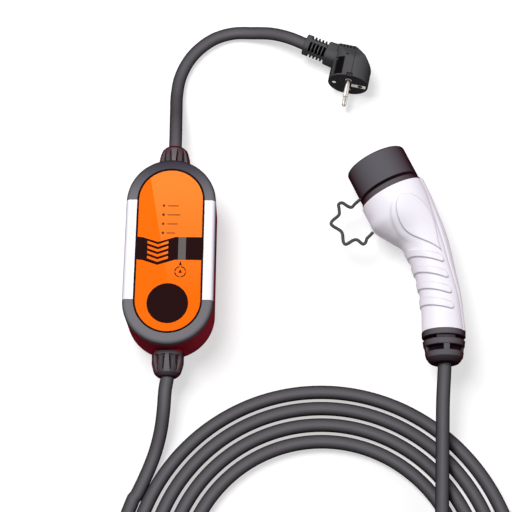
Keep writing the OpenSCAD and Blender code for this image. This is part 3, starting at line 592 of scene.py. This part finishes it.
# %% Handle halves
def handle_reliefs(row, middle, side, turn):
    """Height of all raised fields above the ellipse, and painted shade for their edge lines."""
    run = np.broadcast_to(row[..., 0], np.broadcast_shapes(row[..., 0].shape, turn.shape))
    tear, crease = tear_fields(middle + side * (row[..., 3] * np.cos(turn))[..., None])
    facing = ease((np.sin(turn) - 0.3) / 0.3)
    rib, rib_line_shade = rib_field(run, (row[..., 3] + row[..., 4]) / 2, turn)
    strip, groove = strip_fields(run, turn)
    height = RIB_H * rib + STRIP_H * strip - GROOVE_H * groove + (tear - CREASE_H * crease) * facing
    # The edge lines of teardrop, crease and groove are painted shade.
    tear_line_shade = 3 * (tear * (1 - tear) + 0.1 * crease) * facing
    return height, np.clip(0.42 * rib_line_shade + tear_line_shade + 0.35 * groove**4, 0, 1)


def handle_points(runs, turns, inset=0.0):
    """Point = middle + side direction x half width x cos(turn); up = half height x sin(turn)."""
    row, turn = smooth_rows(HANDLE_ROWS, runs)[:, None], turns[None, :]
    slant = np.radians(row[..., 2])
    side = np.stack([np.cos(slant), np.sin(slant)], axis=-1)
    middle = HANDLE_AT + np.stack([row[..., 1], row[..., 0]], axis=-1)
    height, lines = (-inset, None) if inset else handle_reliefs(row, middle, side, turn)
    flat = middle + side * ((row[..., 3] + height) * np.cos(turn))[..., None]
    up = (row[..., 4] + height) * np.sin(turn)
    return np.concatenate([flat, up[..., None]], axis=-1), lines


def add_handle_half(name, sign, node, run_count, turn_count):
    """Outer skin, inner skin one wall below it, and the four rims that join them."""
    runs = np.linspace(HANDLE_ROWS[0][0], HANDLE_ROWS[-1][0], run_count)
    turns = np.linspace(0, np.pi, turn_count)
    outer, lines = handle_points(runs, turns)
    inner = handle_points(runs, turns[::8], HANDLE_WALL)[0]
    rims = [np.stack([outer[:, k], inner[:, k]]) for k in (0, -1)]
    mouths = [handle_points(runs[[k]], turns, HANDLE_WALL)[0][0] for k in (0, -1)]
    rims += [np.stack([outer[k], mouth]) for k, mouth in zip((0, -1), mouths)]
    skins = [sheet(points * [1, 1, sign] + GUN_H * UP, False) for points in [outer, inner] + rims]
    return add_piece(name, skins, nodes=[node], sharp=50, marks=painted_shade_marks(skins, (0, lines)))


handle_top = add_handle_half("handle_top", 1, "handle_shell_upper", 440, 193)
handle_under = add_handle_half("handle_under", -1, "handle_shell_lower", 220, 97)

# %% [markdown]
# ## Boot and gland nuts
# The rubber boot and the two gland nuts are turned shapes with cuts: a radius that depends on the
# height along the axis and the turn round it. Cutting solids would give the same forms; one radius
# formula gives them soft edges for free.

# %% Turned pieces
round_turns = full_turn(256)
BORE_R = 6.3


def turned(heights, turns, radius, place, axis):
    """Point = place + axis x height + radius x (sideways x cos(turn) + up x sin(turn))."""
    ring = np.cos(turns)[:, None] * np.cross(axis, UP) + np.sin(turns)[:, None] * UP
    return np.asarray(place) + heights[:, None, None] * np.asarray(axis) + radius[..., None] * ring


def rows_for(profile, step):
    """Heights that hit every corner of a profile, with even steps between them."""
    corners = np.array([z for z, _ in profile], float)
    parts = [np.linspace(a, b, max(2, int((b - a) / step) + 1))[:-1]
             for a, b in zip(corners[:-1], corners[1:])]
    return np.concatenate(parts + [corners[-1:]])


def add_turned(name, node, heights, outside, bores, place, axis, sharp):
    """Skin from a radius and its painted shade mark, a bore with two radii, and two end rings."""
    radius, dark = outside
    skin = turned(heights, round_turns, radius, place, axis)
    bore_r = np.outer(bores, np.ones(len(round_turns)))
    bore = turned(heights[[0, -1]], round_turns, bore_r, place, axis)
    ends = [np.stack([skin[k], bore[k]]) for k in (0, -1)]
    parts = [sheet(points) for points in [skin, bore] + ends]
    return add_piece(name, parts, nodes=[node], sharp=sharp, marks=painted_shade_marks(parts, (0, dark)))


# %% Boot
BOOT_OUTER = [
    (-8, 15.7), (2.4, 15.7), (2.7, 19.4), (3.2, 19.8), (7.6, 19.8), (8.0, 19.4), (8.2, 19.3),
    (11.2, 18.9), (11.4, 18.9), (11.8, 19.2), (16.4, 18.6), (16.8, 18.2), (17, 18.0), (21.8, 17.2),
    (22, 17.2), (22.4, 17.5), (26.8, 16.6), (27.4, 15.9), (29.6, 14.6), (31.2, 13.0), (31.6, 12.2)]
BOOT_CUTS = [(8.1, 11.3, 15.0, 9.0, -1.0, 0.55), (16.9, 21.9, 14.2, 3.0, 5.0, 1.0)]
BOOT_MEAN_R, BAR_SOFT, CUT_SOFT, BOOT_END = 17.0, 0.35, 0.35, 27


def bar(turns, middle, half):
    """One where the arc from a bar's middle is under its half width, with a soft edge."""
    off = np.abs((turns - middle + np.pi) % (2 * np.pi) - np.pi) * BOOT_MEAN_R
    return ease((half + BAR_SOFT - off) / (2 * BAR_SOFT))


def boot_radius(heights, turns):
    """Outer profile, sunk to a cut's floor but for its bars' share; cuts and end get painted shade.
    """
    outer = np.interp(heights, *np.array(BOOT_OUTER).T)[:, None]
    radius = np.broadcast_to(outer, (len(heights), len(turns)))
    # Painted shade in the recess at the boot's end and, below, in the cuts.
    dark = 0.7 * ease((heights - BOOT_END) / 0.8)[:, None] * np.ones(radius.shape)
    for low, high, floor_r, top_half, side_half, share in BOOT_CUTS:
        halves = (side_half, top_half, side_half, top_half)
        bars = np.max([bar(turns, k * np.pi / 2, half) for k, half in enumerate(halves)], axis=0)
        inside = ease((heights - low) / CUT_SOFT) * ease((high - heights) / CUT_SOFT)
        cut = inside[:, None] * (1 - share * bars)[None]
        radius = radius - cut * np.maximum(0, outer - floor_r)
        dark = np.maximum(dark, cut)
    return radius, dark


boot_z = rows_for(BOOT_OUTER, step=0.35)
grip_boot = add_turned("grip_boot", "handle_boot", boot_z, boot_radius(boot_z, round_turns),
                       (BORE_R, BORE_R), (*HANDLE_AT, GUN_H), (0, -1, 0), sharp=35)

# %% Gland nuts
NUT_FOOT, NUT_L, NUT_FOOT_R = 89.9, 22.5, 9.1
NUT_OUTER = [
    (0, 14.0), (0.4, 14.4), (3.8, 14.7), (7.9, 14.9), (11.2, 14.4), (17.1, 12.8), (19.3, 11.9),
    (21.4, 9.9), (22.1, 8.9), (NUT_L, 8.3)]
FLAT_R, RIB_R, RIB_END, GROOVE_DEEP = 12.9, 13, 19.3, 0.9


def nut_radius(heights, turns):
    """Dome cut by six flats, but for the foot and widening ribs; also painted shade in grooves and
    on flats.
    """
    rise = heights[:, None]
    dome = np.interp(rise, *np.array(NUT_OUTER).T)
    from_flat = (turns + np.pi / 6 - np.pi / 2) % (np.pi / 3) - np.pi / 6
    arc = np.abs(from_flat)[None] * RIB_R
    half = np.interp(rise, [0, RIB_END], [1.6, 3.0])
    groove = GROOVE_DEEP * np.exp(-((arc - half - 0.9) / 0.7) ** 2)
    groove = groove * ease((rise - 4.2) / 1.5) * ease((18.8 - rise) / 2)
    rib = ease((half + 0.4 - arc) / 0.8) * ease((RIB_END + 0.3 - rise) / 0.6)
    cut = np.minimum(dome, FLAT_R / np.cos(from_flat)[None] - 0.25) - groove
    raised = np.maximum(rib, ease((4 - rise) / 0.6))
    # The dark mark is painted shade in the grooves and on the sunk flats.
    dark = np.maximum(groove / GROOVE_DEEP, 0.5 * (1 - raised))
    return cut + (dome - cut) * raised, np.clip(dark, 0, 1)


def add_nut(name, side, node):
    """Nut on the gland that points to the given side along the box."""
    heights = rows_for(NUT_OUTER, step=0.25)
    return add_turned(name, node, heights, nut_radius(heights, round_turns), (NUT_FOOT_R, BORE_R),
                      (0, side * NUT_FOOT, GLAND_H), (0, side, 0), sharp=40)


mains_nut = add_nut("mains_nut", 1, "mains_gland_nut")
ev_nut = add_nut("ev_nut", -1, "ev_gland_nut")

# %% [markdown]
# ## Mains plug
# The plug has a round face, a back that slopes away to a narrow grip, and a slotted strain relief
# that leaves sideways. Its outline at each depth is a circle cut by three straight lines. A
# boolean of solids would have sharp edges; a soft smallest radius of the circle and the lines
# gives rounded edges in one formula. Recesses are marked, and the finish paints shade in them.

# %% Plug head
plug_turns = full_turn(192)
PLUG_AT, PLUG_R, PLUG_CUT_R, PLUG_DEPTH = np.array([167.2, 186.4, 20.0]), 20.0, 21.2, 38.0
PLUG_TURN = math.radians(-11.5)
PLUG_X = np.array([math.cos(PLUG_TURN), math.sin(PLUG_TURN), 0])
PLUG_OUT = np.array([math.sin(PLUG_TURN), -math.cos(PLUG_TURN), 0])
FACE_SINK, FACE_FINE, BACK_ROUND = 0.25, 1.6, 1.6
FREE_FROM, SLOPE_FROM, TOP_SLOPE = 17.5, 20.0, 10.7 / 18
POCKET_X, POCKET_Z = (-16.6, -8.6), (2.2, 20.4)
BAND_X, BAND_Z = (-15, 1.8), (33.6, 37.2)
NOTCH_X, NOTCH_Z = (-2.6, 2.6), (-2, 3.2)
SEAM_X, SEAM_Z = 1.2, (3, 33)
HOLE_X, HOLE_Z, HOLE_R, HOLE_DEEP = -6.3, 24, 1.2, 0.8


def soft_least(*radii, power=22):
    """Smallest radius with rounded joins: inverse powers summed, then inverted again."""
    return sum(np.maximum(r, 1e-3) ** -power for r in np.broadcast_arrays(*radii)) ** (-1 / power)


def within(value, limits, soft=0.5):
    """One between two limits, with soft edges outside them."""
    low, high = limits
    return ease((value - low) / soft + 1) * ease((high - value) / soft + 1)


def quarter_round(past, size):
    """Loss of radius on a rounded edge: size x (1 - root of (1 - share past it squared))."""
    return size * (1 - np.sqrt(1 - np.clip(past / size, 0, 1) ** 2))


def small_hole(along, across):
    """One inside a small round hole, with a soft edge."""
    return ease((HOLE_R - np.hypot(along, across)) / 0.5)


def head_outline(depth, turns):
    """Circle cut by slopes on the free side, top and bottom, and rounded at the back edge."""
    free = PLUG_CUT_R - np.maximum(0, depth - FREE_FROM)
    level = PLUG_CUT_R - np.maximum(0, depth - SLOPE_FROM) * TOP_SLOPE
    free_r = free / np.maximum(np.cos(turns), 0.02)
    level_r = level / np.maximum(np.abs(np.sin(turns)), 0.02)
    back = quarter_round(depth - PLUG_DEPTH + BACK_ROUND, BACK_ROUND)
    return soft_least(PLUG_R + 0 * depth, free_r, level_r) - back


def head_recesses(depth, across, top):
    """Sunk depth and painted shade of the pocket, grip band, seam, notches and a small hole."""
    pocket = within(across, POCKET_X) * within(depth, POCKET_Z) * top
    band = within(across, BAND_X, 0.4) * within(depth, BAND_Z, 0.3) * top
    seam = np.exp(-((across - SEAM_X) / 0.3) ** 2) * within(depth, SEAM_Z) * top
    notch = within(across, NOTCH_X) * within(depth, NOTCH_Z, 0.4)
    hole = small_hole(depth - HOLE_Z, across - HOLE_X) * top
    sunk = 2.4 * pocket + 0.8 * band + 0.35 * seam + 1.4 * notch + HOLE_DEEP * hole
    return sunk, np.clip(pocket + band + 0.55 * seam + 0.5 * notch + hole, 0, 1)


def head_sheets():
    """Wall from the face to the back, two discs that close it, and the painted shade marks."""
    back_from = PLUG_DEPTH - BACK_ROUND
    rounded = BACK_ROUND * (1 - np.sin(np.linspace(0, np.pi / 2, 9)))
    depth = np.concatenate([np.linspace(FACE_SINK, FACE_FINE, 8)[:-1],
                            np.linspace(FACE_FINE, back_from, 130)[:-1], PLUG_DEPTH - rounded])
    radius = head_outline(depth[:, None], plug_turns[None])
    sunk, dark = head_recesses(depth[:, None], radius * np.cos(plug_turns), np.sin(plug_turns) > 0)
    wall = turned(-depth, np.pi - plug_turns, radius - sunk, PLUG_AT, PLUG_OUT)
    rims = wall[0], wall[-1]
    discs = [np.stack([rim, np.broadcast_to(rim.mean(axis=0), rim.shape)]) for rim in rims]
    return [sheet(points) for points in [wall] + discs], dark


# %% [markdown]
# The strain relief is a round sleeve with four flats. Five slots cross each of its edges, so that
# it can bend with the cable, and thin posts stay on the flats. On the back a row of slanting bars
# gives a hold: rounded blocks by a sphere's formula with its sines and cosines raised to a small
# power.

# %% Plug tail
TAIL_FROM = PLUG_AT - 6 * PLUG_X - 25.5 * PLUG_OUT
LEAN, FLAT_TURN = math.radians(12), math.radians(78)
TAIL_AXIS = -math.cos(LEAN) * PLUG_X - math.sin(LEAN) * PLUG_OUT
SLOT_FIRST, SLOT_PITCH, SLOT_COUNT, SLOT_HALF, CORE_R = 23.6, 3.6, 5, 1.25, 6.6
TAIL_STEPS, TAIL_ROUND, TAIL_FLAT = [0, 21.8, 22.2], [13.0, 11.8, 10.5], [11.4, 10.4, 9.2]
TAIL_END, END_ROUND, TAIL_HOLE, MEAN_R = 44.2, 0.8, 11, 10


def tail_radius(run, turns):
    """Circle cut by four flats; slots sink to a round core. Also painted shade in slots and hole.
    """
    run = run[:, None]
    from_flat = (turns - FLAT_TURN + np.pi / 4) % (np.pi / 2) - np.pi / 4
    flat = np.interp(run, TAIL_STEPS, TAIL_FLAT) / np.cos(from_flat)[None]
    body = soft_least(np.interp(run, TAIL_STEPS, TAIL_ROUND), flat)
    from_edge = np.pi / 4 - np.abs(from_flat)
    window = ease((6.0 - MEAN_R * from_edge) / 0.6)[None]
    number = np.clip(np.round((run - SLOT_FIRST) / SLOT_PITCH), 0, SLOT_COUNT - 1)
    slot = ease((SLOT_HALF - np.abs(run - SLOT_FIRST - SLOT_PITCH * number)) / 0.3) * window
    hole = small_hole(run - TAIL_HOLE, MEAN_R * (turns - FLAT_TURN)[None])
    sunk = slot * np.maximum(0, body - CORE_R) + HOLE_DEEP * hole
    return body - sunk - quarter_round(run - TAIL_END, END_ROUND), np.clip(slot + hole, 0, 1)


def tail_sheets():
    """Skin of the tail, the ring that closes it round the cable, and the painted shade marks."""
    rounded = END_ROUND * np.sin(np.linspace(0, np.pi / 2, 7))
    run = np.concatenate([np.linspace(0, 22, 60)[:-1], np.linspace(22, TAIL_END, 170)[:-1],
                          TAIL_END + rounded])
    radius, dark = tail_radius(run, plug_turns)
    skin = turned(run, plug_turns, radius, TAIL_FROM, TAIL_AXIS)
    hole_r = np.full((1, len(plug_turns)), CABLE_R + 0.1)
    ring = np.concatenate([skin[-1:], turned(run[-1:], plug_turns, hole_r, TAIL_FROM, TAIL_AXIS)])
    return [sheet(skin), sheet(ring)], dark


# %% Plug bars and piece
BAR_DEPTH, BAR_HALF, BAR_SLANT = 35.4, (0.8, 0.7, 2.2), 0.45


def rounded_block(middle, axes, half, power=0.25, count=20):
    """Block on three axes: a sphere's cosines and sines to a small power, times half sizes."""
    high, flat = np.linspace(-np.pi / 2, np.pi / 2, count), full_turn(2 * count)
    waves = np.cos(high), np.sin(high), np.cos(flat), np.sin(flat)
    out, rise, east, north = [np.sign(v) * np.abs(v) ** power for v in waves]
    shape = np.stack([np.outer(out, east) * half[0], np.outer(out, north) * half[1],
                      np.outer(rise, np.ones(2 * count)) * half[2]], axis=-1)
    return sheet(np.asarray(middle) + shape @ np.asarray(axes, float))


def grip_bars(count, pitch, first):
    """Row of bars in the grip band, each lying on the slope and slanting across it."""
    fall = math.atan(TOP_SLOPE)
    down = -math.cos(fall) * PLUG_OUT - math.sin(fall) * UP - BAR_SLANT * PLUG_X
    normal = math.cos(fall) * UP - math.sin(fall) * PLUG_OUT
    height = PLUG_CUT_R - (BAR_DEPTH - SLOPE_FROM) * TOP_SLOPE - 0.4
    middle = PLUG_AT - BAR_DEPTH * PLUG_OUT + height * UP
    axes = PLUG_X, normal, down / np.linalg.norm(down)
    places = [middle + (first + pitch * k) * PLUG_X for k in range(count)]
    return [rounded_block(place, axes, BAR_HALF) for place in places]


head_parts, head_painted_shade = head_sheets()
tail_parts, tail_painted_shade = tail_sheets()
plug_parts = head_parts + tail_parts + grip_bars(count=5, pitch=3.3, first=-13.2)
plug_shell = add_piece("plug_shell", plug_parts, nodes=["plug_body"], sharp=35,
                       marks=painted_shade_marks(plug_parts, (0, head_painted_shade), (3, tail_painted_shade)))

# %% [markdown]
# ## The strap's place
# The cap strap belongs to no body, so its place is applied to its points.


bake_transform(cap_strap)
print("cords declared:", [cord.name for cord in (mains_cable, ev_cable, cap_strap)])
# %% [markdown]
# ## Marks on the panel
# Beside the four status lights the panel has short printed lines, and below the band a ringed sign
# with a pointer. They are kept as plain generic shapes: bars, a ring in four arcs and triangles.
# A printed pattern in the material would do as well, but thin pads stay crisp in every view.

# %% Panel marks
PANEL_TOP, PAD_RISE, PAD_SINK = 56.6, 0.05, 0.10
LIGHT_Y, LEGEND_X, LEGEND_DOWN = 42.4 - 8.9 * np.arange(4), -3, 0.1
LEGEND_HALF, LEGEND_RISE, LEGEND_WIDTHS = 0.65, 0.06, (10.5, 12.5, 10.0, 8.0)
SIGN = np.array([10.6, -21.6])


def triangle_pad(middle, reach, width, power=30):
    """Nearest of three lines round a point; a thin rim goes down into the panel."""
    turns = full_turn(60)
    lines = [0.45 * reach / np.maximum(np.cos(turns - a), 0.02) for a in np.radians([-90, 30, 150])]
    radius = soft_least(*lines, power=power)
    rim = np.stack([radius * np.cos(turns) * width, radius * np.sin(turns), 0 * turns], axis=-1)
    heights = np.array([PAD_RISE, PAD_RISE, -PAD_SINK])[:, None, None] * UP
    return sheet(np.stack([0 * rim, rim, rim]) + heights + [*middle, PANEL_TOP])


def ring_arcs(middle, radius, half_w, gap):
    """Four flat arcs: a tube round part of a circle, pressed to a tenth of its height."""
    arcs = []
    for quarter in np.radians([45, 135, 225, 315]):
        turn = quarter + np.linspace(-1, 1, 24) * (np.pi / 4 - gap)
        path = np.column_stack([radius * np.cos(turn), radius * np.sin(turn), 0 * turn])
        rings = tube_rings(path, half_w, 10) * [1, 1, 0.1]
        arcs.append(sheet(rings + [*middle, PANEL_TOP]))
    return arcs


def line_bars(widths):
    """One short bar beside each light, starting at the same place."""
    return [rounded_block((LEGEND_X + w / 2, y - LEGEND_DOWN, PANEL_TOP), np.eye(3),
                          (w / 2, LEGEND_HALF, LEGEND_RISE), power=0.3)
            for w, y in zip(widths, LIGHT_Y)]


legend_bars = add_piece("legend_bars", line_bars(LEGEND_WIDTHS))
pointer = triangle_pad(SIGN + (0, 7.6), reach=3.2, width=0.55)
inner = triangle_pad(SIGN + (0, 0.2), reach=2.6, width=0.8)
sign_ring = ring_arcs(SIGN, radius=4.9, half_w=0.45, gap=0.12)
panel_sign = add_piece("panel_sign", sign_ring + [pointer, inner])

# %% [markdown]
# ## Panel finishes
# The panel is a satin orange film. A paler orange past a slanting line, fading towards the lower
# end, is a painted reflection of glare. The line is a plain comparison of the place across with
# the place along.

# %% Panel finishes
SLANT, SLANT_FROM, SLANT_TO, FADE_FROM, FADE_TO = 0.19, -6.55, -6.25, -45, 60
PRINT = {"grain": 500.0, "depth": 0.004}


def painted_glare_share(tree):
    """Share of painted glare: one past a slanting line, x plus a part of y, and fades with y."""
    place = object_place(tree)
    along, across = on_axis(tree, place, "Y"), on_axis(tree, place, "X")
    line = math_node(tree, "ADD", math_node(tree, "MULTIPLY", along, SLANT), across)
    past = ramp(tree, line, SLANT_FROM * MM, SLANT_TO * MM)
    fade = ramp(tree, along, FADE_FROM * MM, FADE_TO * MM, kind="LINEAR")
    return math_node(tree, "MULTIPLY", past, fade)


# The paler orange is a painted reflection.
toned("orange_film", (1.0, 0.150, 0.001), (1.0, 0.235, 0.030), painted_glare_share, 0.45, drift=0.03,
      Specular_IOR_Level=0.015, **PRINT)
moulded("print_black", (0.020, 0.007, 0.007), 0.40, **PRINT, **MATT)
moulded("print_brown", (0.36, 0.085, 0.012), 0.45, Specular_IOR_Level=0.05, **PRINT)
moulded("smoke_window", (0.132, 0.122, 0.116), 0.30, **PRINT, **MATT)
moulded("light_pipe", (0.075, 0.035, 0.020), 0.30, Specular_IOR_Level=0.02, **PRINT)
print("finishes:", list(looks))

# %% [markdown]
# ## Dressing the CAD nodes
# A node whose shape is already right keeps its mesh and takes a finish. A table of names is the
# simplest way to see that none is forgotten.

# %% Finishes of the nodes
FINISHES = {
    "maroon": ["rear_shell"],
    "bezel_grey": ["front_shell"],
    "pearl_white": ["side_grip_left", "side_grip_right", "handle_shell_upper",
                    "handle_shell_lower"],
    "seal_black": ["panel_seal", "housing_seal", "gland_seals"],
    "orange_film": ["front_panel"],
    "print_black": ["panel_band", "panel_badge"],
    "smoke_window": ["display_window"],
    "light_pipe": ["status_lights"],
    "charcoal": ["mains_gland_body", "mains_gland_nut", "ev_gland_body", "ev_gland_nut",
                 "plug_body", "cable_clamp"],
    "nose_black": ["nose_housing"],
    "cap_rubber": ["dust_cap"],
    "soft_rubber": ["handle_boot", "cap_tether"],
    "cable_jacket": ["mains_cord", "ev_box_lead", "ev_coil", "ev_gun_lead"],
    "nickel": ["plug_pins", "earth_contacts", "power_contacts", "signal_contacts"],
    "zinc": ["housing_screws", "board_screws"],
    "board_green": ["display_board", "circuit_board", "terminal_blocks"],
    "part_case": ["power_relays", "supply_transformer"],
    "core_gold": ["leakage_sensor"],
}
PIECES = [
    (mains_cable, "cable_jacket", "cable_jacket"), (ev_cable, "cable_jacket", "cable_jacket"),
    (cap_strap, "strap_rubber", "black_rubber"), (handle_top, "pearl_grip", "white_gloss"),
    (handle_under, "pearl_grip", "white_gloss"), (grip_boot, "soft_rubber", "black_rubber"),
    (mains_nut, "charcoal", "black_plastic"), (ev_nut, "charcoal", "black_plastic"),
    (plug_shell, "plug_black", "black_plastic"), (legend_bars, "print_brown", "panel_black"),
    (panel_sign, "print_black", "panel_black")]


def wear(piece, finish):
    """Gives a piece one finish by its name."""
    piece.data.materials.clear()
    piece.data.materials.append(looks[finish])


for finish, names in FINISHES.items():
    for name in names:
        wear(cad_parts[name], finish)
for piece, finish, slot in PIECES:
    wear(piece, finish)
missing = set(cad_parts) - {n for names in FINISHES.values() for n in names}
print("nodes without a finish:", sorted(missing))

# %% [markdown]
# ## Floor and light
# The parts lie on a white studio floor under one large soft lamp from the upper left, with a weak
# one low on either side. The floor reaches white because its material adds a little glow for the
# rays that the camera, mirrors and glass see, which keeps the shadow; far out the glow alone is
# white. A brighter lamp would whiten the floor too, but it would also bleach the orange.

# %% Floor
FLOOR_Z, GLOW_FROM, GLOW_TO = -0.2, 0.5, 1.3


def white_where_seen(tree):
    """One for rays from the camera, a mirror or glass, and zero for the rest."""
    ray = put(tree, "LightPath").outputs
    either = math_node(tree, "MAXIMUM", ray["Is Camera Ray"], ray["Is Glossy Ray"])
    return math_node(tree, "MAXIMUM", either, ray["Is Transmission Ray"])


def add_floor(half_size, colour, glow):
    """Flat square: diffuse, plus a glow where it is seen that grows to one far out."""
    corner = np.array([-half_size, half_size])
    points = np.stack(np.meshgrid(corner, corner, [FLOOR_Z], indexing="ij"), axis=-1)
    floor = add_piece("floor", [sheet(points.reshape(2, 2, 3), False)], body=None)
    material = bpy.data.materials.new("white_floor")
    material.use_nodes = True
    tree = material.node_tree
    tree.nodes.clear()
    dull = put(tree, "BsdfDiffuse", {"Color": (*colour, 1)})
    away = put(tree, "VectorMath", operation="LENGTH", inputs={0: object_place(tree)})
    level = ramp(tree, away.outputs["Value"], GLOW_FROM, GLOW_TO, start=glow)
    strength = math_node(tree, "MULTIPLY", white_where_seen(tree), level)
    light = put(tree, "Emission", {"Color": (1, 1, 1, 1), "Strength": strength})
    both = put(tree, "AddShader", {0: dull.outputs[0], 1: light.outputs[0]})
    put(tree, "OutputMaterial", {"Surface": both.outputs[0]})
    floor.data.materials.append(material)


add_floor(half_size=4000, colour=(0.52, 0.516, 0.52), glow=0.57)

# %% Lamps and world
AIM = (0.10, 0.0, 0.0)


def add_lamp(name, place, aim, size, power, colour=(1, 1, 1)):
    """Square area lamp at a place, facing its aim; metres and watts."""
    data = bpy.data.lights.new(name, "AREA")
    data.size, data.energy, data.color = size, power, colour
    lamp = bpy.data.objects.new(name, data)
    lamp.location = place
    lamp.rotation_euler = (Vector(aim) - Vector(place)).to_track_quat("-Z", "Y").to_euler()
    scene.collection.objects.link(lamp)


def add_world(sky, level):
    """Even sky for lighting, and plain white where it is seen directly."""
    world = bpy.data.worlds.new("studio")
    scene.world = world
    world.use_nodes = True
    tree = world.node_tree
    tree.nodes.clear()
    lighting = put(tree, "Background", {"Color": (*sky, 1), "Strength": level})
    seen = put(tree, "Background", {"Color": (1, 1, 1, 1), "Strength": 1.0})
    either = put(tree, "MixShader",
                 {0: white_where_seen(tree), 1: lighting.outputs[0], 2: seen.outputs[0]})
    put(tree, "OutputWorld", {"Surface": either.outputs[0]})


add_lamp("key", (-0.38, 0.38, 1.42), AIM, size=0.75, power=23.0)
add_lamp("left", (-0.80, 1.00, 0.80), AIM, size=0.9, power=3.0, colour=(0.97, 0.95, 1.0))
add_lamp("right", (1.20, 0.05, 0.55), (0.20, 0.0, 0.03), size=0.8, power=4.5,
         colour=(1.0, 0.95, 0.98))
add_world(sky=(0.95, 0.93, 0.96), level=0.07)
